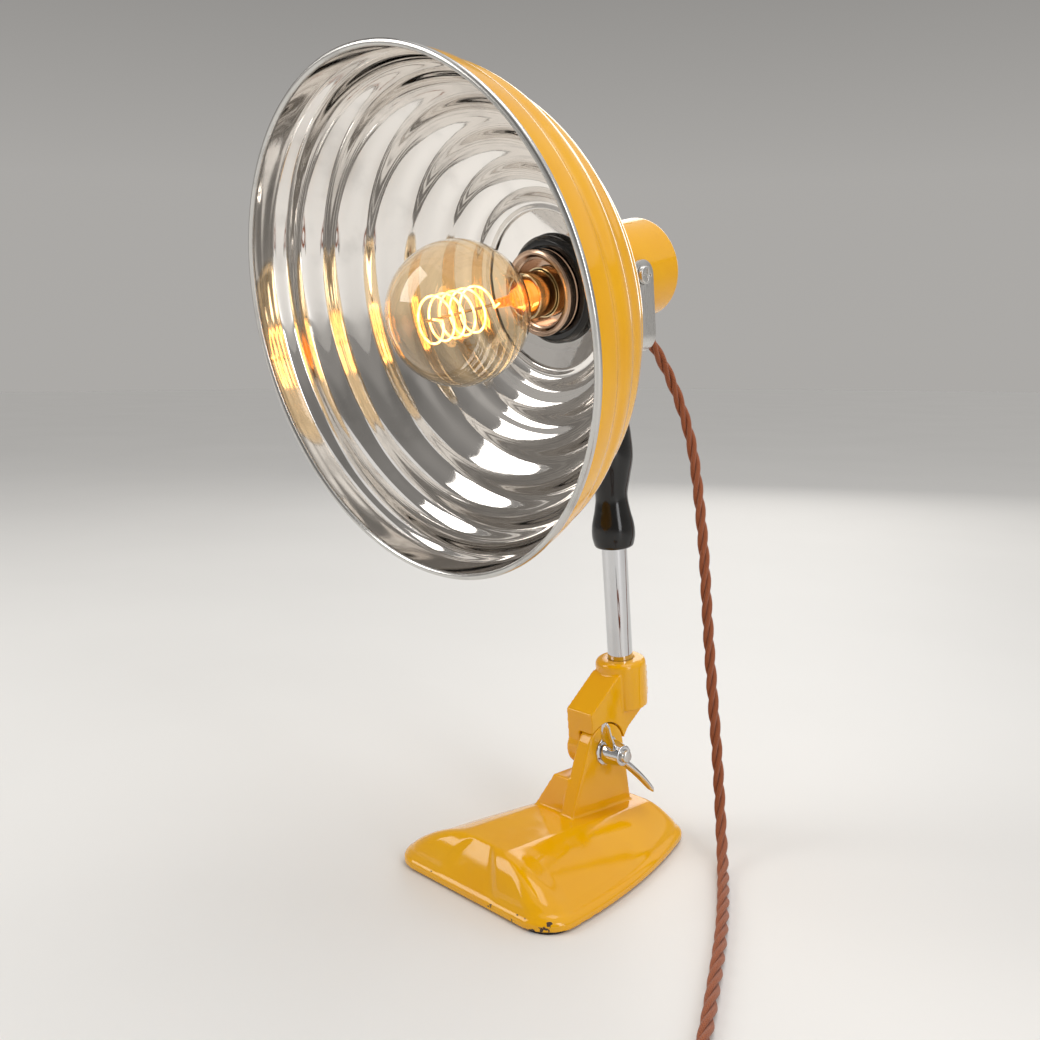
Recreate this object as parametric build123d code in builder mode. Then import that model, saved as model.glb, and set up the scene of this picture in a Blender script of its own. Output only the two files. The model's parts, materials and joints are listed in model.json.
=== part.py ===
from build123d import *
import math
import os

# Table lamp with a ribbed bowl reflector on a leaning stem and a cast foot.
# Millimetres. Origin on the floor under the middle of the foot.
# +Z up, the light shines towards -Y, the wing nut is on the +X side.

# ---------------------------------------------------------------- foot
pad_thickness = 1.5
pad_inset = 3.0
foot_front_y = -86.5
foot_rear_y = 80.5
foot_front_width = 142.0
foot_rear_width = 72.0
foot_side_bulge = 9.3
foot_corner_radius = 17.0
skirt_height = 5.5
skirt_ledge = 1.5
spine_front_y = -70.0
spine_rear_y = 60.0
spine_front_width = 40.0
spine_rear_width = 42.0
spine_corner_radius = 9.0
spine_front_height = 31.0
spine_rear_height = 25.5

# ---------------------------------------------------------------- tilt joint in the foot
bolt_y = 26.5
bolt_height = 66.5
bolt_radius = 4.0
running_gap = 0.08
body_gap = 0.3
ear_thickness = 10.5
ear_inner_x = 0.5
ear_radius = 17.2
ear_front_reach = 31.5
ear_rear_reach = 27.5
stop_block_x = -12.0
stop_block_drop = 16.0
stop_block_top_reach = 24.9
stop_block_front_draft = 0.16
stop_block_side_draft = 0.58
friction_disc_radius = 13.0
friction_disc_thickness = 1.1
wing_washer_radius = 10.0
wing_washer_height = 2.6
bolt_head_radius = 7.2
bolt_head_thickness = 5.0
bolt_standout = 19.0
nut_hub_length = 13.0
nut_hub_radius = 7.6
wing_angle = -53.0
wing_reach = 33.0
wing_thickness = 3.0

# ---------------------------------------------------------------- stem, leaning forward at rest
stem_lean = 5.67
crank = 30.7
lug_thickness = 10.1
lug_radius = 13.5
knuckle_front = 11.5
knuckle_front_height = 27.3
knuckle_width = 22.0
boss_wall = 8.35
boss_bottom = 20.0
boss_top = 52.0
ear_cut_clearance = 0.8
socket_clearance = 0.05
tube_radius = 8.25
tube_wall = 1.25
tube_bottom = 24.0
tube_top_cover = 12.6
grub_height = 39.0
grub_radius = 2.5
handle_length = 120.6
handle_flare = 5.75
handle_belly = 6.75
handle_waist = 2.05
collar_thickness = 4.0
collar_overhang = 3.25
insert_length = 20.0
yoke_bolt_radius = 3.0

# ---------------------------------------------------------------- head
head_height = 298.1
head_tilt = 11.94
rim_radius = 138.5
rim_bead_radius = 1.9
bowl_depth = 118.0
bowl_root_margin = 7.5
bowl_power = 1.73
bowl_root_power = 0.58
bowl_wall = 1.2
rib_count = 7
rib_height = 1.7
rib_start_depth = 13.0
neck_hole_clearance = 3.0
neck_flat_margin = 4.5
cap_radius = 31.0
cap_length = 80.0
cap_wall = 2.0
cap_corner_radius = 3.0
yoke_thickness = 2.5
yoke_width = 18.0
yoke_clearance = 12.0
yoke_bend_radius = 11.0
yoke_washer_thickness = 1.4
yoke_washer_radius = 8.0
yoke_screw_radius = 3.0
yoke_screw_head_radius = 5.6
yoke_screw_head_height = 2.6

# ---------------------------------------------------------------- lampholder and bulb
shade_ring_overlap = 5.0
shade_ring_thickness = 5.5
skirt_outer_radius = 25.3
skirt_inner_radius = 19.6
holder_skirt_length = 13.0
holder_body_radius = 24.0
holder_body_length = 36.0
holder_setback = 1.5
thread_clearance = 0.6
thread_shell_wall = 0.7
thread_shell_length = 28.0
screw_cap_radius = 13.3
screw_cap_length = 26.0
bulb_radius = 40.0
bulb_reach = 52.0
bulb_standout = 22.3
bulb_glass_wall = 0.8
bulb_neck_radius = 12.6
nipple_radius = 5.0
filament_radius = 12.5
filament_wire_radius = 0.7
filament_turns = 5
filament_pitch = 7.6
support_radius = 0.8

# ---------------------------------------------------------------- cord
cord_diameter = 7.5
gland_position = 25.0
gland_slope = 41.0
gland_length = 20.0
gland_radius = 4.95
lead_radius = 1.6
coil_inner_radius = 36.5
coil_section_width = 16.0
coil_section_height = 15.5
plug_radius = 18.0
plug_length = 38.0
pin_radius = 2.4
pin_length = 19.0
pin_spacing = 19.0

lean = math.radians(stem_lean)
tilt = math.radians(head_tilt)
ear_outer_x = ear_inner_x + ear_thickness
lug_inner_x = ear_inner_x - friction_disc_thickness - body_gap
lug_outer_x = lug_inner_x - lug_thickness
spine_floor = pad_thickness + skirt_height
boss_radius = tube_radius + boss_wall
cap_front = -cap_length / 2
cap_back = cap_front + cap_length
yoke_drop = cap_radius + yoke_clearance
bar_underside = head_height - yoke_drop - yoke_thickness
bar_top = bar_underside + yoke_thickness
handle_top = bar_underside - collar_thickness
handle_bottom = handle_top - handle_length
tube_top = handle_top - tube_top_cover
arm_inner = cap_radius + yoke_washer_thickness + body_gap
arm_outer = arm_inner + yoke_thickness
screw_head_x = arm_outer + body_gap
neck_flat_radius = cap_radius + neck_flat_margin
neck_hole_radius = holder_body_radius + neck_hole_clearance
shade_ring_radius = neck_hole_radius + shade_ring_overlap
thread_shell_radius = screw_cap_radius + thread_clearance + thread_shell_wall
ring_back = cap_front - bowl_wall
holder_front = ring_back - holder_setback
cap_mouth = holder_front - bulb_standout
bulb_centre = cap_mouth - bulb_reach
cap_tip = cap_mouth + screw_cap_length
nipple_start = holder_front + holder_body_length

# Directions in the lamp's plane of symmetry.
stem_up = Vector(0, -math.sin(lean), math.cos(lean))
stem_back = Vector(0, math.cos(lean), math.sin(lean))
head_back = Vector(0, math.cos(tilt), math.sin(tilt))
head_down = Vector(0, math.sin(tilt), -math.cos(tilt))
bolt_centre = Vector(0, bolt_y, bolt_height)
head_pivot = bolt_centre + stem_back * crank + stem_up * head_height

# Side view planes: x runs to the lamp's back and y up the stem or across the head's axis.
stem_side = Plane(origin=bolt_centre, x_dir=stem_back, z_dir=(1, 0, 0))
head_side = Plane(origin=head_pivot, x_dir=head_back, z_dir=(1, 0, 0))
# The stem's own section planes and the yoke's front view.
stem_foot = bolt_centre + stem_back * crank
stem_axis = Axis(stem_foot, stem_up)
head_axis = Axis(head_pivot, head_back)
yoke_front = Plane(origin=head_pivot, x_dir=(1, 0, 0), z_dir=-stem_back)

written = []


def save(part, label):
    """Labels a finished piece and writes it to the parts folder."""
    part.label = label
    export_step(part, f"parts/{label}.step")
    written.append(label)


def stem_section(height):
    """The plane across the stem at a height above the foot bolt."""
    return Plane(origin=stem_foot + stem_up * height, x_dir=(1, 0, 0), z_dir=stem_up)


def head_section(position):
    """The plane across the head's axis, at a distance behind the tilt pivot."""
    return Plane(origin=head_pivot + head_back * position, x_dir=(1, 0, 0), z_dir=head_back)


def tangent_point(centre, radius, outside, side):
    """Where a line from an outside point touches a circle, on the left (1) or right (-1)."""
    dx, dy = centre[0] - outside[0], centre[1] - outside[1]
    distance = math.hypot(dx, dy)
    angle = math.atan2(dy, dx) + side * math.asin(radius / distance)
    reach = math.sqrt(distance**2 - radius**2)
    return outside[0] + reach * math.cos(angle), outside[1] + reach * math.sin(angle)


def foot_outline(inset):
    """Lines of the foot's footprint, drawn in by inset: straight ends and sides that bulge outwards."""
    front = foot_front_width / 2 - inset
    rear = foot_rear_width / 2 - inset
    side = (front + rear) / 2 + foot_side_bulge
    front_y = foot_front_y + inset
    rear_y = foot_rear_y - inset
    middle_y = (front_y + rear_y) / 2
    Line((-front, front_y), (front, front_y))
    ThreePointArc((front, front_y), (side, middle_y), (rear, rear_y))
    Line((rear, rear_y), (-rear, rear_y))
    ThreePointArc((-rear, rear_y), (-side, middle_y), (-front, front_y))


os.makedirs("parts", exist_ok=True)

# ================================================================ foot pieces
with BuildPart() as base_pad:
    with BuildSketch():
        with BuildLine():
            foot_outline(pad_inset)
        make_face()
        fillet(vertices(), foot_corner_radius - pad_inset)
    extrude(amount=pad_thickness)
save(base_pad.part, "base_pad")

spine_slope = math.atan2(spine_front_height - spine_rear_height, spine_rear_y - spine_front_y)
spine_middle_y = (spine_front_y + spine_rear_y) / 2
spine_middle_height = (spine_front_height + spine_rear_height) / 2
spine_plane = Plane(
    origin=(0, spine_middle_y, spine_middle_height),
    x_dir=(1, 0, 0),
    z_dir=(0, math.sin(spine_slope), math.cos(spine_slope)),
)
spine_half = (spine_rear_y - spine_front_y) / 2 / math.cos(spine_slope)
spine_corners = [
    (-spine_front_width / 2, -spine_half),
    (spine_front_width / 2, -spine_half),
    (spine_rear_width / 2, spine_half),
    (-spine_rear_width / 2, spine_half),
]
ear_front_foot_y = bolt_y - ear_front_reach
ear_rear_foot_y = bolt_y + ear_rear_reach
stop_block_height = bolt_height - stop_block_drop
stop_block_tall = stop_block_height - spine_floor
stop_block_front_y = bolt_y - stop_block_top_reach
ear_front_foot = (ear_front_foot_y, spine_rear_height)
ear_front_touch = tangent_point((bolt_y, bolt_height), ear_radius, ear_front_foot, 1)
ear_rear_touch = tangent_point((bolt_y, bolt_height), ear_radius, (ear_rear_foot_y, spine_floor), -1)

with BuildPart() as base_casting:
    with BuildSketch(Plane.XY.offset(pad_thickness)):
        with BuildLine():
            foot_outline(0)
        make_face()
        fillet(vertices(), foot_corner_radius)
    extrude(amount=skirt_height)
    fillet(edges().group_by(Axis.Z)[-1], skirt_ledge)
    with BuildSketch(Plane.XY.offset(spine_floor)):
        with BuildLine():
            foot_outline(skirt_ledge)
        make_face()
        fillet(vertices(), foot_corner_radius - skirt_ledge)
    with BuildSketch(spine_plane):
        with BuildLine():
            Polyline(*spine_corners, close=True)
        make_face()
        fillet(vertices(), spine_corner_radius)
    loft()
    # The ear, a rounded upright on the +X side of the joint.
    with BuildSketch(Plane.YZ.offset(ear_inner_x)):
        with BuildLine():
            Line((ear_rear_foot_y, spine_floor), ear_rear_touch)
            ThreePointArc(ear_rear_touch, (bolt_y, bolt_height + ear_radius), ear_front_touch)
            Line(ear_front_touch, ear_front_foot)
            Line(ear_front_foot, (ear_front_foot_y, spine_floor))
            Line((ear_front_foot_y, spine_floor), (ear_rear_foot_y, spine_floor))
        make_face()
    extrude(amount=ear_thickness)
    # The block below the knuckle's lug, which widens towards its foot.
    with BuildSketch(Plane.XY.offset(spine_floor)):
        with BuildLine():
            Polyline(
                (stop_block_x - stop_block_tall * stop_block_side_draft,
                 stop_block_front_y - stop_block_tall * stop_block_front_draft),
                (ear_inner_x, stop_block_front_y - stop_block_tall * stop_block_front_draft),
                (ear_inner_x, ear_rear_foot_y - 2),
                (stop_block_x - stop_block_tall * stop_block_side_draft, ear_rear_foot_y - 2),
                close=True,
            )
        make_face()
    with BuildSketch(Plane.XY.offset(stop_block_height)):
        with BuildLine():
            Polyline(
                (stop_block_x, stop_block_front_y),
                (ear_inner_x, stop_block_front_y),
                (ear_inner_x, ear_rear_touch[0] - 2),
                (stop_block_x, ear_rear_touch[0] - 2),
                close=True,
            )
        make_face()
    loft()
    with Locations(Plane(origin=(ear_outer_x, bolt_y, bolt_height), z_dir=(1, 0, 0))):
        Hole(bolt_radius + running_gap, depth=ear_thickness + 1)
save(base_casting.part, "base_casting")

bolt_head_x = lug_outer_x - body_gap
bolt_tip_x = ear_outer_x + bolt_standout
with BuildPart() as pivot_bolt:
    with BuildSketch(Plane(origin=(bolt_head_x, bolt_y, bolt_height), z_dir=(1, 0, 0))):
        Circle(bolt_radius)
    extrude(amount=bolt_tip_x - bolt_head_x)
    with BuildSketch(Plane(origin=(bolt_head_x, bolt_y, bolt_height), z_dir=(1, 0, 0))):
        RegularPolygon(bolt_head_radius, 6)
    extrude(amount=-bolt_head_thickness)
    chamfer(edges().group_by(Axis.X)[-1], 0.8)
save(pivot_bolt.part, "pivot_bolt")

with BuildPart() as friction_disc:
    with BuildSketch(Plane(origin=(ear_inner_x, bolt_y, bolt_height), z_dir=(1, 0, 0))):
        Circle(friction_disc_radius)
        Circle(bolt_radius + running_gap, mode=Mode.SUBTRACT)
    extrude(amount=-friction_disc_thickness)
save(friction_disc.part, "friction_disc")

with BuildPart() as wing_washer:
    with BuildSketch(Plane(origin=(ear_outer_x, bolt_y, bolt_height), z_dir=(1, 0, 0))):
        Circle(wing_washer_radius)
        Circle(bolt_radius + running_gap, mode=Mode.SUBTRACT)
    extrude(amount=wing_washer_height)
    fillet(edges().filter_by(GeomType.CIRCLE).group_by(Axis.X)[-1].sort_by(SortBy.RADIUS)[-1], 2.2)
save(wing_washer.part, "wing_washer")

# ---------------------------------------------------------------- wing nut
nut_start_x = ear_outer_x + wing_washer_height + body_gap
wing_root = 2.0
wing_tip_back = -17.0
nut_plane = Plane(origin=(nut_start_x, bolt_y, bolt_height), x_dir=(0, 1, 0), z_dir=(1, 0, 0))
with BuildPart() as wing_nut:
    with BuildSketch(nut_plane):
        Circle(nut_hub_radius)
    extrude(amount=nut_hub_length, taper=7)
    turn = math.radians(wing_angle)
    out = Vector(0, math.cos(turn), math.sin(turn))
    for side in (1, -1):
        wing_plane = Plane(
            origin=(nut_start_x, bolt_y, bolt_height),
            x_dir=out * side,
            z_dir=Vector(1, 0, 0).cross(out * side),
        )
        with BuildSketch(wing_plane):
            # x runs out along the wing and y runs back towards the lamp
            with BuildLine():
                Spline((wing_root, -4), (12, -7), (22, -11), (wing_reach, wing_tip_back))
                Line((wing_reach, wing_tip_back), (wing_reach - 3, wing_tip_back - 4))
                wing_corner = (wing_reach - 3, wing_tip_back - 4)
                Spline(wing_corner, (20, -18), (10, -14.5), (wing_root, -nut_hub_length))
                Line((wing_root, -nut_hub_length), (wing_root, -4))
            make_face()
        extrude(amount=wing_thickness / 2, both=True)
    with BuildSketch(nut_plane):
        Circle(bolt_radius + running_gap)
    extrude(amount=nut_hub_length + 8, mode=Mode.SUBTRACT)
save(wing_nut.part, "wing_nut")

# ================================================================ stem pieces
boss_front = crank - boss_radius
boss_back = crank + boss_radius
shoulder = boss_top - 7.0
with BuildPart() as knuckle:
    with BuildSketch(stem_side.offset(-knuckle_width / 2)):
        with BuildLine():
            Polyline(
                (-knuckle_front, -6),
                (-knuckle_front, knuckle_front_height),
                (boss_front + 1, shoulder),
                (boss_back - 3, shoulder),
                (boss_back - 3, boss_bottom + 1),
                (lug_radius + 9, 8),
                (lug_radius * 0.8, -6),
                close=True,
            )
        make_face()
    extrude(amount=knuckle_width)
    with BuildSketch(stem_section(boss_bottom)):
        Circle(boss_radius)
    extrude(amount=boss_top - boss_bottom)
    # The boss's lower back corner is bevelled.
    with BuildSketch(stem_side.offset(-boss_radius - 2)):
        with BuildLine():
            Polyline(
                (boss_back - 11, boss_bottom - 2),
                (boss_back + 2, boss_bottom - 2),
                (boss_back + 2, boss_bottom + 9),
                close=True,
            )
        make_face()
    extrude(amount=2 * boss_radius + 4, mode=Mode.SUBTRACT)
    fillet(edges().filter_by(GeomType.CIRCLE).sort_by(stem_axis)[-1], 3.5)
    # The half of the knuckle beside the ear is cut back round the bolt.
    with BuildSketch(stem_side.offset(lug_inner_x)):
        Circle(ear_radius + ear_cut_clearance)
        with Locations((0, -ear_radius)):
            Rectangle(4 * ear_radius, 2 * ear_radius)
    extrude(amount=knuckle_width, mode=Mode.SUBTRACT)
    # The lug is round below the bolt.
    with BuildSketch(stem_side.offset(lug_outer_x)):
        Circle(lug_radius)
    extrude(amount=lug_thickness)
    with Locations(Plane(origin=(lug_inner_x, bolt_y, bolt_height), z_dir=(1, 0, 0))):
        Hole(bolt_radius + running_gap, depth=lug_thickness + 1)
    with BuildSketch(stem_section(boss_top)):
        Circle(tube_radius + socket_clearance)
    extrude(amount=tube_bottom - boss_top, mode=Mode.SUBTRACT)
    with BuildSketch(Plane(origin=stem_foot + stem_up * grub_height, z_dir=stem_back)):
        Circle(grub_radius)
    extrude(amount=boss_radius + 2, mode=Mode.SUBTRACT)
save(knuckle.part, "knuckle")

grub_length = boss_radius - 0.5
grub_face = stem_foot + stem_up * grub_height + stem_back * grub_length
with BuildPart() as grub_screw:
    with BuildSketch(Plane(origin=stem_foot + stem_up * grub_height, z_dir=stem_back)):
        Circle(grub_radius - socket_clearance)
    extrude(amount=grub_length)
    with BuildSketch(stem_section(grub_height - 6)):
        Circle(tube_radius + socket_clearance)
    extrude(amount=12, mode=Mode.SUBTRACT)
    with BuildSketch(Plane(origin=grub_face, z_dir=stem_back)):
        RegularPolygon(1.4, 6)
    extrude(amount=-2.0, mode=Mode.SUBTRACT)
save(grub_screw.part, "grub_screw")

with BuildPart() as stem_tube:
    with BuildSketch(stem_section(tube_bottom)):
        Circle(tube_radius)
        Circle(tube_radius - tube_wall, mode=Mode.SUBTRACT)
    extrude(amount=tube_top - tube_bottom)
save(stem_tube.part, "stem_tube")

tube_side = crank + tube_radius
with BuildPart() as handle:
    with BuildSketch(stem_side):
        with BuildLine():
            # Flared foot, narrow waist, belly, then a slow taper to the collar.
            turned_line = Spline(
                (tube_side + handle_flare - 1.4, handle_bottom + 2),
                (tube_side + handle_flare, handle_bottom + handle_length * 0.1),
                (tube_side + handle_waist, handle_bottom + handle_length * 0.28),
                (tube_side + handle_belly, handle_bottom + handle_length * 0.48),
                (tube_side + handle_belly - 2.4, handle_bottom + handle_length * 0.73),
                (tube_side + handle_waist + 0.3, handle_top),
            )
            Line(turned_line @ 1, (crank, handle_top))
            Line((crank, handle_top), (crank, handle_bottom))
            Line((crank, handle_bottom), (tube_side + handle_waist + 0.9, handle_bottom))
            Line((tube_side + handle_waist + 0.9, handle_bottom), turned_line @ 0)
        make_face()
    revolve(axis=stem_axis)
    with BuildSketch(stem_section(handle_bottom)):
        Circle(tube_radius + socket_clearance)
    extrude(amount=tube_top - handle_bottom, mode=Mode.SUBTRACT)
    with BuildSketch(stem_section(tube_top)):
        Circle(yoke_bolt_radius + running_gap)
    extrude(amount=handle_top - tube_top, mode=Mode.SUBTRACT)
save(handle.part, "handle")

with BuildPart() as tube_insert:
    with BuildSketch(stem_section(tube_top - insert_length)):
        Circle(tube_radius - tube_wall - socket_clearance)
        Circle(yoke_bolt_radius + socket_clearance, mode=Mode.SUBTRACT)
    extrude(amount=insert_length)
save(tube_insert.part, "tube_insert")

with BuildPart() as handle_collar:
    with BuildSketch(stem_section(handle_top)):
        Circle(tube_radius + collar_overhang)
        Circle(yoke_bolt_radius + running_gap, mode=Mode.SUBTRACT)
    extrude(amount=collar_thickness)
    fillet(edges().filter_by(GeomType.CIRCLE).sort_by(SortBy.RADIUS)[-2:], 1.2)
save(handle_collar.part, "handle_collar")

with BuildPart() as yoke:
    with BuildSketch(yoke_front):
        with Locations((0, (yoke_width / 2 - yoke_drop - yoke_thickness) / 2)):
            Rectangle(2 * arm_outer, yoke_width / 2 + yoke_drop + yoke_thickness)
        fillet(vertices().group_by(Axis.Y)[0], yoke_bend_radius)
    extrude(amount=yoke_width / 2, both=True)
    with BuildSketch(yoke_front):
        with Locations((0, (yoke_width - yoke_drop) / 2)):
            Rectangle(2 * arm_inner, yoke_width + yoke_drop)
        fillet(vertices().group_by(Axis.Y)[0], yoke_bend_radius - yoke_thickness)
    extrude(amount=yoke_width, both=True, mode=Mode.SUBTRACT)
    top_corners = edges().filter_by(Axis.X).sort_by(Axis.Z)[-4:]
    fillet(top_corners, yoke_width / 2 - 0.05)
    with BuildSketch(Plane(origin=head_pivot, z_dir=(1, 0, 0))):
        Circle(yoke_screw_radius + running_gap)
    extrude(amount=arm_outer + 1, both=True, mode=Mode.SUBTRACT)
    with BuildSketch(stem_section(bar_underside)):
        Circle(yoke_bolt_radius + running_gap)
    extrude(amount=yoke_thickness + 1, mode=Mode.SUBTRACT)
save(yoke.part, "yoke")

with BuildPart() as yoke_bolt:
    with BuildSketch(stem_section(tube_top - insert_length + 2)):
        Circle(yoke_bolt_radius)
    extrude(amount=bar_top - tube_top + insert_length - 2)
    with BuildSketch(stem_section(bar_top)):
        RegularPolygon(6.0, 6)
    extrude(amount=4.2)
save(yoke_bolt.part, "yoke_bolt")


# ================================================================ head pieces
def bowl_radius(depth):
    """Radius of the bowl's outer wall at a depth behind the rim, without its ribs."""
    return rim_radius * (1 - (depth / (bowl_depth + bowl_root_margin)) ** bowl_power) ** bowl_root_power


def bowl_outline(inset):
    """Side view of the ribbed bowl, drawn in from its outer wall by inset."""
    steps = rib_count * 4
    ribbed_depth = bowl_depth - rib_start_depth - 4
    plain = [bowl_point(rib_start_depth * i / 3, inset, 0) for i in range(3)]
    ribbed = []
    for i in range(steps + 1):
        share = i / steps
        # Even spacing along the wall: depth grows with the sine of the share.
        depth = rib_start_depth + ribbed_depth * math.sin(share * math.pi / 2) ** 1.15
        rib = -rib_height / 2 * (1 - math.cos(2 * math.pi * rib_count * share))
        ribbed.append(bowl_point(depth, inset, rib))
    return plain + ribbed


def bowl_point(depth, inset, rib):
    """A point of the bowl's wall in the head's side view, moved in along the wall's normal."""
    step = 0.05
    low, high = max(depth - step, 0), depth + step
    slope = (bowl_radius(high) - bowl_radius(low)) / (high - low)
    length = math.hypot(1, slope)
    move = rib - inset
    return (
        cap_front - bowl_depth + depth - move * slope / length,
        bowl_radius(depth) + move / length,
    )


outer_wall = bowl_outline(0)
inner_wall = bowl_outline(bowl_wall)
with BuildPart() as reflector:
    with BuildSketch(head_side):
        with BuildLine():
            outer_line = Spline(*outer_wall)
            Line(outer_line @ 1, (cap_front, neck_flat_radius))
            Line((cap_front, neck_flat_radius), (cap_front, neck_hole_radius))
            Line((cap_front, neck_hole_radius), (ring_back, neck_hole_radius))
            inner_line = Spline(*inner_wall)
            Line((ring_back, neck_hole_radius), (ring_back, neck_flat_radius - bowl_wall))
            Line((ring_back, neck_flat_radius - bowl_wall), inner_line @ 1)
            Line(inner_line @ 0, outer_line @ 0)
        make_face()
        with Locations((cap_front - bowl_depth, rim_radius)):
            Circle(rim_bead_radius)
    revolve(axis=head_axis)
save(reflector.part, "reflector")

gland_angle = math.radians(gland_slope)
gland_direction = Vector(0, math.cos(gland_angle), -math.sin(gland_angle))
gland_seat = head_pivot + head_back * gland_position + head_down * (cap_radius - 4)
gland_end = gland_seat + gland_direction * gland_length
gland_plane = Plane(origin=gland_seat, z_dir=gland_direction)
with BuildPart() as rear_cap:
    with BuildSketch(head_section(cap_front)):
        Circle(cap_radius)
    extrude(amount=cap_length)
    fillet(edges().filter_by(GeomType.CIRCLE).sort_by(head_axis)[-1], cap_corner_radius)
    with BuildSketch(head_section(cap_front)):
        Circle(cap_radius - cap_wall)
    extrude(amount=cap_length - cap_wall, mode=Mode.SUBTRACT)
    with BuildSketch(Plane(origin=head_pivot, z_dir=(1, 0, 0))):
        Circle(yoke_screw_radius)
    extrude(amount=cap_radius + 1, both=True, mode=Mode.SUBTRACT)
    # Hole for the nipple that holds the lampholder.
    with BuildSketch(head_section(cap_back)):
        Circle(nipple_radius)
    extrude(amount=-cap_wall * 2, mode=Mode.SUBTRACT)
    # Hole for the cord's strain relief, low at the back.
    with BuildSketch(gland_plane):
        Circle(gland_radius + socket_clearance)
    extrude(amount=16, mode=Mode.SUBTRACT)
save(rear_cap.part, "rear_cap")

with BuildPart() as yoke_washers:
    for side in (1, -1):
        washer_origin = head_pivot + Vector(side * (arm_inner - body_gap), 0, 0)
        with BuildSketch(Plane(origin=washer_origin, z_dir=(-side, 0, 0))):
            Circle(yoke_washer_radius)
            Circle(yoke_screw_radius, mode=Mode.SUBTRACT)
        extrude(amount=yoke_washer_thickness - 0.02)
save(yoke_washers.part, "yoke_washers")

with BuildPart() as yoke_screws:
    for side in (1, -1):
        shank_origin = head_pivot + Vector(side * (cap_radius - 6), 0, 0)
        with BuildSketch(Plane(origin=shank_origin, z_dir=(side, 0, 0))):
            Circle(yoke_screw_radius)
        extrude(amount=screw_head_x - cap_radius + 6)
        head_origin = head_pivot + Vector(side * screw_head_x, 0, 0)
        with BuildSketch(Plane(origin=head_origin, z_dir=(side, 0, 0))):
            Circle(yoke_screw_head_radius)
        extrude(amount=yoke_screw_head_height, taper=12)
        slot_origin = head_origin + Vector(side * yoke_screw_head_height, 0, 0)
        with BuildSketch(Plane(origin=slot_origin, x_dir=(0, 1, 0), z_dir=(side, 0, 0))):
            Rectangle(7.5, 1.2)
            Rectangle(1.2, 7.5)
        extrude(amount=-1.3, mode=Mode.SUBTRACT)
save(yoke_screws.part, "yoke_screws")

# ---------------------------------------------------------------- lampholder
with BuildPart() as shade_ring:
    with BuildSketch(head_side):
        with BuildLine():
            Polyline(
                (ring_back, holder_body_radius + 0.05),
                (ring_back, shade_ring_radius - 1),
                (ring_back - 2.2, shade_ring_radius),
                (ring_back - shade_ring_thickness, shade_ring_radius - 2.5),
                (ring_back - shade_ring_thickness, skirt_outer_radius + 0.4),
                (ring_back - 1.4, skirt_outer_radius + 0.4),
                (ring_back - 1.4, holder_body_radius + 0.05),
                close=True,
            )
        make_face()
    revolve(axis=head_axis)
save(shade_ring.part, "shade_ring")

with BuildPart() as holder_body:
    with BuildSketch(head_section(holder_front)):
        Circle(holder_body_radius)
        Circle(thread_shell_radius + 0.05, mode=Mode.SUBTRACT)
    extrude(amount=holder_body_length)
    with BuildSketch(head_section(holder_front + holder_body_length)):
        Circle(holder_body_radius)
        Circle(nipple_radius, mode=Mode.SUBTRACT)
    extrude(amount=4.0)
    with BuildSketch(head_section(holder_front + holder_body_length + 4.0)):
        Circle(holder_body_radius - 8)
        Circle(nipple_radius, mode=Mode.SUBTRACT)
    extrude(amount=9.0, taper=14)
save(holder_body.part, "holder_body")

with BuildPart() as holder_skirt:
    with BuildSketch(head_side):
        with BuildLine():
            Polyline(
                (holder_front, thread_shell_radius + 0.4),
                (holder_front, skirt_outer_radius - 0.6),
                (holder_front - holder_skirt_length + 3, skirt_outer_radius - 0.6),
                (holder_front - holder_skirt_length + 1.5, skirt_outer_radius),
                (holder_front - holder_skirt_length, skirt_outer_radius - 0.8),
                (holder_front - holder_skirt_length, skirt_inner_radius + 2.6),
                (holder_front - holder_skirt_length + 2.5, skirt_inner_radius),
                (holder_front - 2.0, skirt_inner_radius),
                (holder_front - 2.0, thread_shell_radius + 0.4),
                close=True,
            )
        make_face()
    revolve(axis=head_axis)
save(holder_skirt.part, "holder_skirt")

with BuildPart() as thread_shell:
    with BuildSketch(head_section(holder_front - 9.0)):
        Circle(thread_shell_radius)
        Circle(thread_shell_radius - thread_shell_wall, mode=Mode.SUBTRACT)
    extrude(amount=thread_shell_length)
save(thread_shell.part, "thread_shell")

with BuildPart() as centre_contact:
    with BuildSketch(head_section(cap_tip + 2.2)):
        Circle(3.2)
    extrude(amount=1.2)
    with BuildSketch(head_section(cap_tip + 3.4)):
        Circle(8.0)
    extrude(amount=2.0)
save(centre_contact.part, "centre_contact")

with BuildPart() as holder_nipple:
    with BuildSketch(head_section(nipple_start)):
        Circle(nipple_radius)
        Circle(nipple_radius - 1.4, mode=Mode.SUBTRACT)
    extrude(amount=cap_back + 6.0 - nipple_start)
save(holder_nipple.part, "holder_nipple")

with BuildPart() as nipple_nut:
    with BuildSketch(head_section(cap_back)):
        RegularPolygon(7.5, 6)
        Circle(nipple_radius, mode=Mode.SUBTRACT)
    extrude(amount=4.0)
save(nipple_nut.part, "nipple_nut")

# ---------------------------------------------------------------- bulb
neck_blend_radius = bulb_neck_radius + 6
globe_angle = math.asin(neck_blend_radius / bulb_radius)


def bulb_section(wall):
    """Half of the bulb's outline, drawn in from the outer glass by wall and closed along the axis."""
    globe = bulb_radius - wall
    front = (bulb_centre - globe, 0)
    leaving = (bulb_centre + globe * math.cos(globe_angle), globe * math.sin(globe_angle))
    heading = (math.sin(globe_angle), -math.cos(globe_angle))
    ThreePointArc(front, (bulb_centre, globe), leaving)
    Spline(leaving, (cap_mouth, bulb_neck_radius - wall), tangents=[heading, (1, 0)])
    Line((cap_mouth, bulb_neck_radius - wall), (cap_mouth, 0))
    Line((cap_mouth, 0), front)


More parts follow.
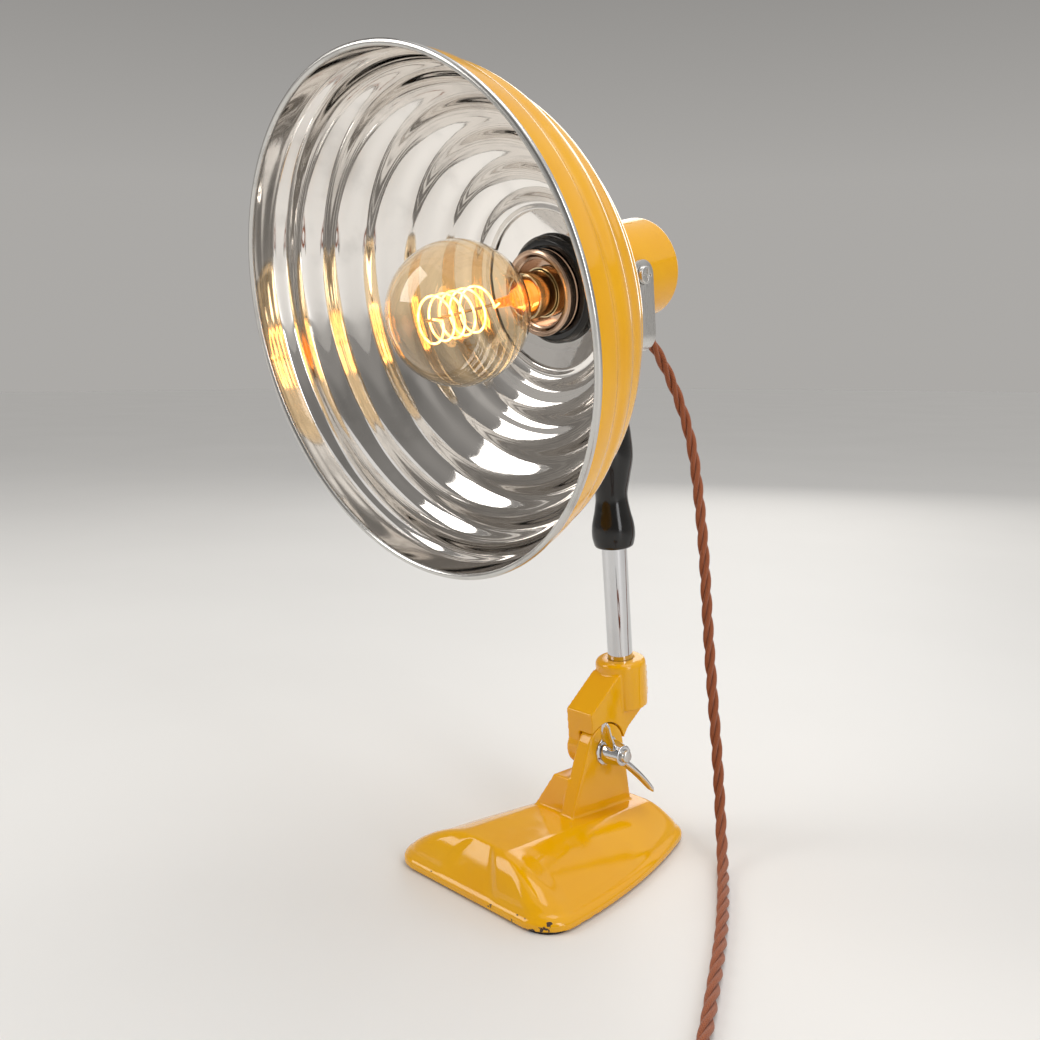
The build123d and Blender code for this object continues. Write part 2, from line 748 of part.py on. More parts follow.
with BuildPart() as bulb_glass:
    with BuildSketch(head_side):
        with BuildLine():
            bulb_section(0)
        make_face()
    revolve(axis=head_axis)
    with BuildSketch(head_side):
        with BuildLine():
            bulb_section(bulb_glass_wall)
        make_face()
    revolve(axis=head_axis, mode=Mode.SUBTRACT)
save(bulb_glass.part, "bulb_glass")

with BuildPart() as bulb_cap:
    with BuildSketch(head_section(cap_mouth)):
        Circle(screw_cap_radius)
        Circle(screw_cap_radius - 0.6, mode=Mode.SUBTRACT)
    extrude(amount=screw_cap_length - 7)
    with BuildSketch(head_section(cap_mouth + screw_cap_length - 7)):
        Circle(screw_cap_radius)
    extrude(amount=5, taper=42)
    with BuildSketch(head_section(cap_mouth + screw_cap_length - 2)):
        Circle(4.8)
    extrude(amount=2.0, taper=30)
save(bulb_cap.part, "bulb_cap")

stem_tip = bulb_centre + 29
with BuildPart() as bulb_stem:
    with BuildSketch(head_side):
        with BuildLine():
            Polyline((cap_mouth + 2, 0), (cap_mouth + 2, 9), (cap_mouth - 3, 7), close=False)
            Spline((cap_mouth - 3, 7), (stem_tip + 12, 3.4), (stem_tip, 2.6))
            Line((stem_tip, 2.6), (stem_tip, 0))
            Line((stem_tip, 0), (cap_mouth + 2, 0))
        make_face()
    revolve(axis=head_axis)
save(bulb_stem.part, "bulb_stem")

filament_length = filament_pitch * filament_turns
filament_start = bulb_centre - filament_length / 2 - 3
with BuildPart() as filament:
    with BuildLine():
        filament_base = head_pivot + head_back * filament_start
        turns = Helix(filament_pitch, filament_length, filament_radius, filament_base, head_back)
    with BuildSketch(Plane(origin=turns @ 0, z_dir=turns % 0)):
        Circle(filament_wire_radius)
    sweep(path=turns)
save(filament.part, "filament")

with BuildPart() as filament_supports:
    with BuildSketch(head_section(filament_start - 2)):
        Circle(support_radius)
    extrude(amount=stem_tip - filament_start + 2)
    for end in (filament_start, filament_start + filament_length - 3):
        with BuildSketch(Plane(origin=head_pivot + head_back * end, z_dir=head_down)):
            Circle(support_radius * 0.7)
        extrude(amount=filament_radius - filament_wire_radius - 0.3)
save(filament_supports.part, "filament_supports")

# ================================================================ cord and plug
cord_radius = cord_diameter / 2
gland_flange = 2.0
with BuildPart() as cord_gland:
    with BuildSketch(gland_plane):
        Circle(gland_radius)
    extrude(amount=gland_length, taper=2.6)
    with BuildSketch(gland_plane):
        Circle(gland_radius + 1.4)
    extrude(amount=-gland_flange)
save(cord_gland.part, "cord_gland")

with BuildPart() as inner_lead:
    with BuildLine():
        lead_end = gland_seat - gland_direction * gland_flange
        lead_path = FilletPolyline(
            lead_end,
            lead_end - gland_direction * 9.0,
            head_pivot + head_back * (nipple_start + 15) + head_down * (holder_body_radius - 5),
            head_pivot + head_back * (nipple_start + 4.6) + head_down * (holder_body_radius - 4),
            radius=3.0,
        )
    with BuildSketch(Plane(origin=lead_path @ 0, z_dir=lead_path % 0)):
        Circle(lead_radius)
    sweep(path=lead_path)
save(inner_lead.part, "inner_lead")

# The hanging stretch, from the strain relief down to the floor, then the stretch on the floor.
hanging_points = [
    tuple(gland_end + gland_direction * 0.3),
    tuple(gland_end + gland_direction * 18.0),
    (5.0, 101.0, 292.0),
    (13.0, 106.5, 262.0),
    (22.0, 103.5, 228.0),
    (32.0, 98.0, 188.0),
    (41.0, 91.0, 148.0),
    (51.0, 85.0, 100.0),
    (58.0, 83.0, 58.0),
    (66.0, 77.0, 22.0),
]
floor_points = [
    (86.0, 53.0, 3.8),
    (109.0, 22.0, 3.8),
    (134.0, -14.0, 3.8),
    (160.0, -56.0, 3.8),
    (185.0, -97.0, 3.8),
    (205.0, -134.0, 3.8),
    (225.0, -167.0, 3.8),
]


def corner_radii(points):
    """The arc at each inner point: 0.45 of the shorter run over the tangent of half the turn."""
    radii = []
    for before, here, after in zip(points, points[1:], points[2:]):
        run_in = Vector(*here) - Vector(*before)
        run_out = Vector(*after) - Vector(*here)
        turn_angle = math.radians(run_in.get_angle(run_out))
        radii.append(0.45 * min(run_in.length, run_out.length) / math.tan(turn_angle / 2))
    return radii


route = hanging_points + floor_points
radii = corner_radii(route)
print("cord arc radii", [round(r, 1) for r in radii])
runs = [(Vector(*b) - Vector(*a)).length for a, b in zip(route, route[1:])]
print("cord runs", [round(r, 1) for r in runs])
# The tube is in two pieces that meet halfway along the first run on the floor.
split = len(hanging_points) + 1
meeting = tuple((Vector(*floor_points[0]) + Vector(*floor_points[1])) / 2)


def save_tube(points, arc_radii, label):
    """A round tube along runs and tangent arcs, its volume printed against section times length."""
    with BuildPart() as tube:
        with BuildLine():
            path = FilletPolyline(*points, radius=arc_radii)
        with BuildSketch(Plane(origin=path @ 0, z_dir=path % 0)):
            Circle(cord_radius)
        sweep(path=path)
    ratio = tube.part.volume / (math.pi * cord_radius**2 * path.length)
    print(label, "length", round(path.length, 1), "volume ratio", round(ratio, 4))
    save(tube.part, label)


save_tube(route[:split] + [meeting], radii[: split - 1], "cord_hanging")
save_tube([meeting] + route[split:], radii[split - 1 :], "cord_floor")

# The rest of the lead is wound up; the floor stretch runs into the outer turn along its tangent.
outer_turn_radius = coil_inner_radius + coil_section_width - cord_radius
coil_heading = (Vector(*floor_points[-1]) - Vector(*floor_points[-2])).normalized()
coil_side = Vector(-coil_heading.Y, coil_heading.X, 0)
coil_centre = Vector(floor_points[-1][0], floor_points[-1][1], 0) + coil_side * outer_turn_radius
with BuildPart() as cord_coil:
    with BuildSketch(Plane(origin=coil_centre)):
        Circle(coil_inner_radius + coil_section_width)
        Circle(coil_inner_radius, mode=Mode.SUBTRACT)
    extrude(amount=coil_section_height)
    fillet(edges().filter_by(GeomType.CIRCLE), cord_radius - 0.5)
save(cord_coil.part, "cord_coil")

# The tail leaves the top turn on the coil's near side and enters the plug, which lies on the floor.
tail_angle = math.radians(226.0)
tail_from = Vector(math.cos(tail_angle), math.sin(tail_angle), 0)
tail_heading = Vector(-math.sin(tail_angle), math.cos(tail_angle), 0)
tail_start = coil_centre + tail_from * outer_turn_radius + Vector(0, 0, coil_section_height - cord_radius)
tail_bend = tail_start + tail_heading * 24 + tail_from * 2
plug_back = tail_bend + tail_heading * 22 + Vector(0, 0, plug_radius - tail_start.Z) - tail_from * 1
save_tube(
    [tuple(tail_start), tuple(tail_bend), tuple(plug_back)],
    corner_radii([tuple(tail_start), tuple(tail_bend), tuple(plug_back)]),
    "cord_tail",
)

with BuildPart() as plug_body:
    with BuildSketch(Plane(origin=plug_back, z_dir=tail_heading)):
        Circle(cord_radius + 2.4)
    with BuildSketch(Plane(origin=plug_back + tail_heading * 14, z_dir=tail_heading)):
        Circle(cord_radius + 5.5)
    loft()
    with BuildSketch(Plane(origin=plug_back + tail_heading * 14, z_dir=tail_heading)):
        Circle(cord_radius + 5.5)
    with BuildSketch(Plane(origin=plug_back + tail_heading * 24, z_dir=tail_heading)):
        Circle(plug_radius)
    loft()
    with BuildSketch(Plane(origin=plug_back + tail_heading * 24, z_dir=tail_heading)):
        Circle(plug_radius)
    extrude(amount=plug_length - 24)
    fillet(edges().filter_by(GeomType.CIRCLE).sort_by(Axis(plug_back, tail_heading))[-1], 1.5)
save(plug_body.part, "plug_body")

with BuildPart() as plug_pins:
    pin_plane = Plane(
        origin=plug_back + tail_heading * plug_length,
        x_dir=Vector(-tail_heading.Y, tail_heading.X, 0),
        z_dir=tail_heading,
    )
    with BuildSketch(pin_plane):
        with GridLocations(pin_spacing, 0, 2, 1):
            Circle(pin_radius)
    extrude(amount=pin_length)
    fillet(edges().filter_by(GeomType.CIRCLE).group_by(Axis(plug_back, tail_heading))[-1], 1.2)
save(plug_pins.part, "plug_pins")

print("nodes", len(written))
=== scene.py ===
"""Table lamp: ribbed bowl reflector, leaning stem and cast foot, dressed round the frame."""

import json
import logging
import math
from dataclasses import dataclass
from enum import Enum
from typing import Any, Callable

import bmesh
import bpy
from mathutils import Matrix, Vector


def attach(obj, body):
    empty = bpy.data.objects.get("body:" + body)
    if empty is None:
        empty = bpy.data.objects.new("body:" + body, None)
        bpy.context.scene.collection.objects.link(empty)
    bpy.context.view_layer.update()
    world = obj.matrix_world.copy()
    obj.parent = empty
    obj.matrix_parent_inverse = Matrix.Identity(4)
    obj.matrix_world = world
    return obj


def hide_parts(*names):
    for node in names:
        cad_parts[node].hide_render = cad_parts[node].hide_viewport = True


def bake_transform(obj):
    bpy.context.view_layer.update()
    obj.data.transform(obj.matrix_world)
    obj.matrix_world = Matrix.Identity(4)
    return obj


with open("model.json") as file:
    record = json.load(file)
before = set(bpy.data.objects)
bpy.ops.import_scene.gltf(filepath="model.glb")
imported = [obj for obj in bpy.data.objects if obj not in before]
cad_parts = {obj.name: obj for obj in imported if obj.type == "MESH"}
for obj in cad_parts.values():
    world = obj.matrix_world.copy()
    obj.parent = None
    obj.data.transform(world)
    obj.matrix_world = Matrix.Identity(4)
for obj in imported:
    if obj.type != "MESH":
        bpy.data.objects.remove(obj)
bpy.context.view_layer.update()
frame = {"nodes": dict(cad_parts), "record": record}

MM = 0.001
ALONG_X = 0.9  # an axis with a larger x than this is taken to run crosswise
WELD = 1e-6  # points closer than this are one point
FLAT = math.radians(0.5)  # faces that meet at less than this are one face
WARM_GREY = (1.0, 0.985, 0.965)
log = logging.getLogger("lamp")

Profile = list[tuple[float, float]]
Triple = tuple[float, float, float]
Colour = Triple


# ---------------------------------------------------------------- shader tools
def operator(operation: str, flipped: bool = False) -> Callable[["Value", Any], "Value"]:
    """Makes one of Value's operators.

    Args:
        operation: the Math node's operation.
        flipped: whether the value is the second input.

    Returns:
        The method.
    """

    def method(self: "Value", other: Any) -> "Value":
        """Adds a Math node.

        Args:
            other: a value or a number.

        Returns:
            The node's result.
        """
        inputs = {0: other, 1: self} if flipped else {0: self, 1: other}
        return self.nodes.node("ShaderNodeMath", {"operation": operation}, inputs)

    return method


class Value:
    """One value inside a tree of nodes; arithmetic on it adds Math nodes."""

    def __init__(self, nodes: "Nodes", socket: Any) -> None:
        """Wraps an output socket.

        Args:
            nodes: the tree that the socket belongs to.
            socket: the node output.
        """
        self.nodes = nodes
        self.socket = socket

    __add__ = __radd__ = operator("ADD")
    __sub__ = operator("SUBTRACT")
    __rsub__ = operator("SUBTRACT", flipped=True)
    __mul__ = __rmul__ = operator("MULTIPLY")
    __truediv__ = operator("DIVIDE")
    __rtruediv__ = operator("DIVIDE", flipped=True)
    __pow__ = operator("POWER")

    def sibling(self, output: str) -> "Value":
        """Gives another output of the same node.

        Args:
            output: the output's name.

        Returns:
            That output.
        """
        return Value(self.nodes, self.socket.node.outputs[output])

    def above(self, limit: float, width: float) -> "Value":
        """Smooth step.

        Args:
            limit: where the step is half way.
            width: how wide the step is.

        Returns:
            0 below the limit and 1 above it.
        """
        settings = {"interpolation_type": "SMOOTHSTEP"}
        ends = {"Value": self, "From Min": limit - width / 2, "From Max": limit + width / 2}
        return self.nodes.node("ShaderNodeMapRange", settings, ends)


class Nodes:
    """A tree of nodes that is added to in one way."""

    def __init__(self, tree: bpy.types.NodeTree) -> None:
        """Keeps the tree.

        Args:
            tree: the node tree.
        """
        self.tree = tree

    def node(
        self, kind: str, settings: dict[str, Any], inputs: dict[Any, Any], out: Any = 0
    ) -> Value:
        """Adds any node.

        Args:
            kind: the node's type.
            settings: its properties.
            inputs: values or links by socket name or number.
            out: the output that is returned.

        Returns:
            The chosen output.
        """
        made = self.tree.nodes.new(kind)
        for name, setting in settings.items():
            setattr(made, name, setting)
        for name, value in inputs.items():
            self.feed(made.inputs[name], value)
        return Value(self, made.outputs[out])

    def feed(self, socket: Any, value: Any) -> None:
        """Links or sets one input.

        Args:
            socket: the input.
            value: a Value to link, or a number or colour to set.
        """
        if isinstance(value, Value):
            self.tree.links.new(value.socket, socket)
        elif isinstance(value, tuple) and len(value) == 3 and len(socket.default_value) == 4:
            socket.default_value = (*value, 1.0)
        else:
            socket.default_value = value


class Shader(Nodes):
    """The nodes of one material around its Principled shader."""

    def __init__(self, name: str) -> None:
        """Starts an empty material.

        Args:
            name: the material's name.
        """
        self.material = bpy.data.materials.new(name)
        self.material.use_nodes = True
        super().__init__(self.material.node_tree)
        self.surface = self.tree.nodes["Principled BSDF"]

    def set(self, **values: Any) -> None:
        """Feeds the Principled shader's sockets.

        Args:
            values: a value for each socket, with _ for a space in its name.
        """
        for name, value in values.items():
            self.feed(self.surface.inputs[name.replace("_", " ")], value)

    def place(self) -> Value:
        """Gives coordinates in the lamp's frame.

        Returns:
            The coordinates in metres.
        """
        return self.node("ShaderNodeTexCoord", {}, {}, "Object")

    def noise(self, scale: float, detail: float = 3.0, where: Value | None = None) -> Value:
        """Fractal noise.

        Args:
            scale: cells per metre.
            detail: octaves.
            where: coordinates, or None for the lamp's frame.

        Returns:
            A value round 0.5.
        """
        inputs = {"Vector": where or self.place(), "Scale": scale, "Detail": detail}
        return self.node("ShaderNodeTexNoise", {}, inputs, "Fac")

    def mix(self, share: Any, first: Any, second: Any) -> Value:
        """Mixes two colours.

        Args:
            share: how much of the second.
            first: the first colour.
            second: the second colour.

        Returns:
            The mixed colour.
        """
        return self.node("ShaderNodeMix", {"data_type": "RGBA"}, {0: share, 6: first, 7: second}, 2)

    def bump(self, height: Value, strength: float, depth: float) -> None:
        """Relief on the surface.

        Args:
            height: the relief, 0 to 1.
            strength: how strongly it shows.
            depth: its height in metres.
        """
        inputs = {"Height": height, "Strength": strength, "Distance": depth}
        self.set(Normal=self.node("ShaderNodeBump", {}, inputs, "Normal"))


@dataclass(frozen=True)
class Enamel:
    """Thick glossy stove enamel on cast or spun metal."""

    name: str = "yellow_enamel"
    colour: Colour = (0.86, 0.430, 0.0004)
    deep: Colour = (0.78, 0.335, 0.0003)
    unevenness: float = 0.00035
    chipped: bool = False
    bare_iron: Colour = (0.055, 0.028, 0.016)
    chips_below: float = 0.0085
    chips_before: float = -0.066

    def material(self) -> bpy.types.Material:
        """Makes the material: colour drift, orange-peel relief and, on the foot, chipped edges.

        Returns:
            The material.
        """
        s = Shader(self.name)
        drift = s.noise(22.0, 2.0).above(0.52, 0.5)
        colour = s.mix(drift * 0.45, self.colour, self.deep)
        smudge = s.noise(140.0, 4.0)
        gloss = 0.10 + smudge.above(0.62, 0.3) * 0.10
        waves = s.noise(48.0, 1.5) * 0.8 + s.noise(420.0, 1.0) * 0.035
        if self.chipped:
            height = s.node("ShaderNodeSeparateXYZ", {}, {"Vector": s.place()}, "Z")
            low = 1.0 - height.above(self.chips_below, 0.004)
            near_front = 1.0 - height.sibling("Y").above(self.chips_before, 0.02)
            worn = low * near_front * (height.sibling("X").above(0.040, 0.03) * 0.12 + 0.88)
            chips = (s.noise(150.0, 4.0) * worn).above(0.600, 0.012)
            colour = s.mix(chips, colour, self.bare_iron)
            gloss = gloss + chips * 0.45
            waves = waves - chips * 0.35
        s.set(Base_Color=colour, Roughness=gloss, Coat_Weight=0.05, Coat_Roughness=0.05)
        s.bump(waves, 0.5, self.unevenness)
        return s.material


@dataclass(frozen=True)
class Polish:
    """Bare metal with fine lines turned or drawn into it."""

    name: str
    colour: Colour
    roughness: float
    line_scale: float = 900.0
    line_depth: float = 0.00002
    around: bool = False
    stain: float = 0.0

    def material(self) -> bpy.types.Material:
        """Makes the material: lines round the head's axis or along the piece, and faint stains.

        Returns:
            The material.
        """
        s = Shader(self.name)
        where = s.place()
        if self.around:
            moved = s.node("ShaderNodeVectorMath", {"operation": "SUBTRACT"},
                           {0: where, 1: tuple(HEAD.origin)}, "Vector")
            flat = s.node("ShaderNodeVectorMath", {"operation": "CROSS_PRODUCT"},
                          {0: moved, 1: tuple(HEAD.along)}, "Vector")
            radius = s.node("ShaderNodeVectorMath", {"operation": "LENGTH"}, {0: flat}, "Value")
            lines = s.node("ShaderNodeTexNoise", {"noise_dimensions": "1D"},
                           {"W": radius, "Scale": self.line_scale, "Detail": 4.0}, "Fac")
        else:
            drawn = {"Vector": where, "Scale": (1.0, 1.0, 0.08)}
            stretched = s.node("ShaderNodeMapping", {}, drawn)
            lines = s.noise(self.line_scale, 3.0, stretched)
        stains = s.noise(38.0, 5.0).above(0.60, 0.25) * self.stain
        dull = tuple(c * 0.62 for c in self.colour)
        s.set(Base_Color=s.mix(stains, self.colour, dull), Metallic=1.0,
              Roughness=lines * self.roughness + stains * 0.18 + self.roughness * 0.5)
        s.bump(lines, 0.35, self.line_depth)
        return s.material


@dataclass(frozen=True)
class Moulded:
    """Moulded plastic, rubber, ceramic or fibre."""

    name: str
    colour: Colour
    roughness: float
    coat: float = 0.0
    grain_scale: float = 500.0
    grain_depth: float = 0.00004

    def material(self) -> bpy.types.Material:
        """Makes the material: a faint flow pattern, fine wear in the gloss and a light grain.

        Returns:
            The material.
        """
        s = Shader(self.name)
        flow = s.noise(60.0, 4.0)
        lighter = tuple(min(1.0, c * 1.7 + 0.004) for c in self.colour)
        wear = s.noise(210.0, 5.0).above(0.64, 0.2)
        s.set(Base_Color=s.mix(flow * 0.5, self.colour, lighter), Coat_Weight=self.coat,
              Roughness=wear * 0.14 + self.roughness, Coat_Roughness=0.06)
        s.bump(s.noise(self.grain_scale, 2.0), 0.3, self.grain_depth)
        return s.material


@dataclass(frozen=True)
class ClearGlass:
    """Thin blown glass."""

    name: str
    tint: Colour
    # painted glow: emission strength that stands in for the filament's light falling on the glass
    painted_glow: float = 0.0
    painted_glow_colour: Colour = (1.0, 0.30, 0.03)
    index: float = 1.45

    def material(self) -> bpy.types.Material:
        """Makes the material: faint streaks in the relief, and a painted glow, emission that stands in
        for the filament's light on the glass.

        Returns:
            The material.
        """
        s = Shader(self.name)
        blown = {"Vector": s.place(), "Scale": (1.0, 0.15, 1.0)}
        stretched = s.node("ShaderNodeMapping", {}, blown)
        streaks = s.noise(60.0, 2.0, stretched)
        paler = tuple(min(1.0, c * 1.03) for c in self.tint)
        s.set(Base_Color=s.mix(streaks.above(0.5, 0.4), self.tint, paler), Roughness=0.0,
              IOR=self.index, Transmission_Weight=1.0)
        # painted glow: emission on the glass stands in for the filament's light falling on it
        if self.painted_glow:
            s.set(Emission_Color=self.painted_glow_colour, Emission_Strength=self.painted_glow)
        s.bump(streaks, 0.2, 0.0002)
        return s.material


@dataclass(frozen=True)
class HotWire:
    """Glowing filament wire."""

    name: str = "filament_wire"
    colour: Colour = (1.0, 0.46, 0.09)
    hottest: Colour = (1.0, 0.62, 0.25)
    metal: Colour = (0.2, 0.1, 0.05)
    strength: float = 7.0

    def material(self) -> bpy.types.Material:
        """Makes the material: white-hot with slightly cooler stretches.

        Returns:
            The material.
        """
        s = Shader(self.name)
        heat = s.noise(180.0, 2.0).above(0.5, 0.5)
        s.set(Base_Color=self.metal, Roughness=0.5, Emission_Strength=self.strength,
              Emission_Color=s.mix(heat, self.colour, self.hottest))
        return s.material


@dataclass(frozen=True)
class Braid:
    """Braided cotton sleeve over each twisted core."""

    name: str = "cord_braid"
    colour: Colour = (0.34, 0.085, 0.022)
    # colour of the painted shade in the gaps between the yarns
    shade: Colour = (0.13, 0.028, 0.010)
    pale: Colour = (0.52, 0.17, 0.055)
    picks_per_metre: float = 620.0
    ends_round: float = 6.0

    def material(self) -> bpy.types.Material:
        """Makes the material: two families of yarns that cross as they go round each strand, with
        painted shade in the gaps between them.

        Returns:
            The material.
        """
        s = Shader(self.name)
        uv = s.node("ShaderNodeUVMap", {"uv_map": "strand"}, {})
        u = s.node("ShaderNodeSeparateXYZ", {}, {"Vector": uv}, "X")
        turns = u * self.ends_round
        length = u.sibling("Y") * self.picks_per_metre
        families = []
        for sign in (1.0, -1.0):
            phase = (length + turns * sign) * math.tau
            wave = s.node("ShaderNodeMath", {"operation": "SINE"}, {0: phase})
            families.append(wave * 0.5 + 0.5)
        weave = s.node("ShaderNodeMath", {"operation": "MAXIMUM"}, dict(enumerate(families)))
        fuzz = s.noise(2600.0, 3.0)
        # painted shade: darker where the yarns part, in the low gaps of the weave
        tone = s.mix(weave, self.shade, self.colour)
        tone = s.mix(fuzz.above(0.58, 0.2) * 0.55, tone, self.pale)
        s.set(Base_Color=tone, Roughness=0.88 - weave * 0.12, Sheen_Weight=0.25,
              Sheen_Roughness=0.5)
        s.bump(weave * 0.8 + fuzz * 0.4, 0.9, 0.00030)
        return s.material


@dataclass(frozen=True)
class PaleFloor:
    """Plain pale studio floor."""

    name: str = "pale_floor"
    colour: Colour = (0.76, 0.75, 0.73)
    lighter: Colour = (0.81, 0.80, 0.78)

    def material(self) -> bpy.types.Material:
        """Makes the material: pale paper with a barely visible mottle.

        Returns:
            The material.
        """
        s = Shader(self.name)
        mottle = s.noise(3.0, 3.0)
        s.set(Base_Color=s.mix(mottle, self.colour, self.lighter), Roughness=0.55)
        return s.material


class Finish(Enum):
    """The record's material slots, and the finish that each gets."""

    YELLOW = "yellow_enamel"
    SHELL = "reflector_shell"
    CHROME = "chrome_plate"
    ZINC = "zinc_steel"
    FIBRE = "friction_fibre"
    BAKELITE = "black_bakelite"
    CERAMIC = "holder_ceramic"
    COPPER = "copper_skirt"
    BRASS = "contact_brass"
    GLASS = "amber_glass"
    HOT_WIRE = "filament_wire"
    WIRE = "support_wire"
    BRAID = "cord_braid"
    RUBBER = "strain_relief"
    PLUG = "plug_plastic"
    PINS = "plug_brass"
    PAD = "foot_pad"


# ---------------------------------------------------------------- places
@dataclass(frozen=True)
class AxisFrame:
    """A turning axis, with positions measured from its origin."""

    origin: Vector
    along: Vector

    @property
    def matrix(self) -> Matrix:
        """Turns (along, side, across) into the lamp's frame.

        Returns:
            The matrix.
        """
        crosswise = abs(self.along.x) > ALONG_X
        side = Vector((0.0, 1.0, 0.0)) if crosswise else Vector((1.0, 0.0, 0.0))
        across = Vector((0.0, 0.0, 1.0)) if crosswise else self.along.cross(side).normalized()
        columns = Matrix((self.along, side, across)).transposed().to_4x4()
        return Matrix.Translation(self.origin) @ columns

    def at(self, position: float) -> Vector:
        """Finds a point on the axis.

        Args:
            position: its distance from the origin in millimetres.

        Returns:
            The point in metres.
        """
        return self.origin + self.along * position * MM


STEM_LEAN = math.radians(5.67)
HEAD_TILT = math.radians(11.94)
CRANK = 30.7
JOINTS = {j["name"]: j for j in frame["record"]["behaviour"]["joints"]}
BOLT = Vector(JOINTS["base_tilt"]["pos_m"])
PIVOT = Vector(JOINTS["head_tilt"]["pos_m"])
STEM_BACK = Vector((0.0, math.cos(STEM_LEAN), math.sin(STEM_LEAN)))
STEM_UP = Vector((0.0, -math.sin(STEM_LEAN), math.cos(STEM_LEAN)))
STEM = AxisFrame(BOLT + STEM_BACK * CRANK * MM, STEM_UP)
HEAD = AxisFrame(PIVOT, Vector((0.0, math.cos(HEAD_TILT), math.sin(HEAD_TILT))))
BOLT_AXIS = AxisFrame(BOLT, Vector((1.0, 0.0, 0.0)))


# ---------------------------------------------------------------- mesh tools
def new_object(name: str, data: Any) -> bpy.types.Object:
    """Links a mesh, a curve, a camera or a light into the scene.

    Args:
        name: the object's name.
        data: what it shows.

    Returns:
        The object.
    """
    made = bpy.data.objects.new(name, data)
    bpy.context.scene.collection.objects.link(made)
    return made


def smooth(mesh: bpy.types.Mesh, sharp_angle: float = 40.0) -> None:
    """Shades a mesh smooth, with sharp edges where faces meet steeply.

    Args:
        mesh: the mesh.
        sharp_angle: the angle in degrees from which an edge stays sharp.
    """
    for face in mesh.polygons:
        face.use_smooth = True
    mesh.set_sharp_from_angle(angle=math.radians(sharp_angle))


def rounded(corners: list[tuple[float, ...]], steps: int = 5, closed: bool = True) -> Profile:
    """Rounds the corners of a profile.

    Args:
        corners: (position, radius) or (position, radius, corner radius) in millimetres.
        steps: points on each arc.
        closed: whether the last corner joins the first.

    Returns:
        The points of the rounded profile.
    """
    points: Profile = []
    count = len(corners)
    for i, corner in enumerate(corners):
        here = Vector(corner[:2])
        fillet = corner[2] if len(corner) > 2 else 0.0
        if fillet <= 0 or (not closed and i in (0, count - 1)):
            points.append(tuple(here))
            continue
        into = Vector(corners[i - 1][:2]) - here
        out = Vector(corners[(i + 1) % count][:2]) - here
        half = into.angle(out) / 2
        reach = min(fillet / math.tan(half), into.length * 0.49, out.length * 0.49)
        start, end = here + into.normalized() * reach, here + out.normalized() * reach
        for k in range(steps + 1):
            t = k / steps
            points.append(tuple(start * (1 - t) ** 2 + here * (2 * t * (1 - t)) + end * t**2))
    return points


def ramped(value: float, start: float, width: float) -> float:
    """Rises in a straight line from 0 to 1.

    Args:
        value: where it is read.
        start: where it leaves 0.
        width: how far on it reaches 1.

    Returns:
        A number from 0 to 1.
    """
    return min(1.0, max(0.0, (value - start) / width))


def flowing(points: Profile, steps: int = 8) -> Profile:
    """A smooth line through the points.

    Args:
        points: the points to pass through.
        steps: how many stretches between two points.

    Returns:
        The points of a Catmull-Rom curve.
    """
    line: Profile = []
    padded = [points[0], *points, points[-1]]
    for a, b, c, d in zip(padded, padded[1:], padded[2:], padded[3:]):
        for k in range(steps):
            t = k / steps
            line.append(tuple(
                0.5 * (2 * q + (r - p) * t + (2 * p - 5 * q + 4 * r - w) * t**2
                       + (3 * q - p - 3 * r + w) * t**3)
                for p, q, r, w in zip(a, b, c, d)
            ))
    line.append(points[-1])
    return line


def skin(bm: bmesh.types.BMesh, rings: list[list[bmesh.types.BMVert]], capped: bool = True) -> None:
    """Joins rings of equal length into a tube.

    Args:
        bm: the mesh they belong to.
        rings: the rings, in order.
        capped: whether both ends are closed.
    """
    for low, high in zip(rings, rings[1:]):
        for k in range(len(low)):
            n = (k + 1) % len(low)
            bm.faces.new([low[k], low[n], high[n], high[k]])
    if capped:
        bm.faces.new(list(reversed(rings[0])))
        bm.faces.new(rings[-1])


def mesh_of(bm: bmesh.types.BMesh, name: str) -> bpy.types.Mesh:
    """Turns a finished edit mesh into a mesh with outward faces.

    Args:
        bm: the edit mesh, which is freed.
        name: the mesh's name.

    Returns:
        The mesh.
    """
    bmesh.ops.recalc_face_normals(bm, faces=bm.faces)
    mesh = bpy.data.meshes.new(name)
    bm.to_mesh(mesh)
    bm.free()
    return mesh


def turned(name: str, axis: AxisFrame, profile: Profile, segments: int = 96, closed: bool = True,
           slot_of: Callable[[int], int] | None = None) -> bpy.types.Object:
    """Turns a profile round an axis.

    Args:
        name: the piece's name.
        axis: the turning axis.
        profile: (position, radius) points in millimetres; radius 0 is a pole.
        segments: facets round.
        closed: whether the profile's last point joins its first.
        slot_of: gives a material index for each stretch of the profile.

    Returns:
        The object.
    """
    bm = bmesh.new()
    matrix = axis.matrix
    rings = []
    for position, radius in profile:
        if radius <= WELD:
            rings.append([bm.verts.new(matrix @ Vector((position * MM, 0, 0)))])
            continue
        ring = []
        for k in range(segments):
            angle = math.tau * k / segments
            local = Vector((position, radius * math.cos(angle), radius * math.sin(angle))) * MM
            ring.append(bm.verts.new(matrix @ local))
        rings.append(ring)
    pairs = list(zip(rings, rings[1:] + rings[:1]))
    if not closed:
        pairs.pop()
    for index, (low, high) in enumerate(pairs):
        for k in range(segments):
            n = (k + 1) % segments
            square = (low[k % len(low)], low[n % len(low)], high[n % len(high)], high[k % len(high)])
            corners = list(dict.fromkeys(square))
            if len(corners) > 2:
                face = bm.faces.new(corners)
                face.material_index = slot_of(index) if slot_of else 0
    mesh = mesh_of(bm, name)
    smooth(mesh)
    return new_object(name, mesh)


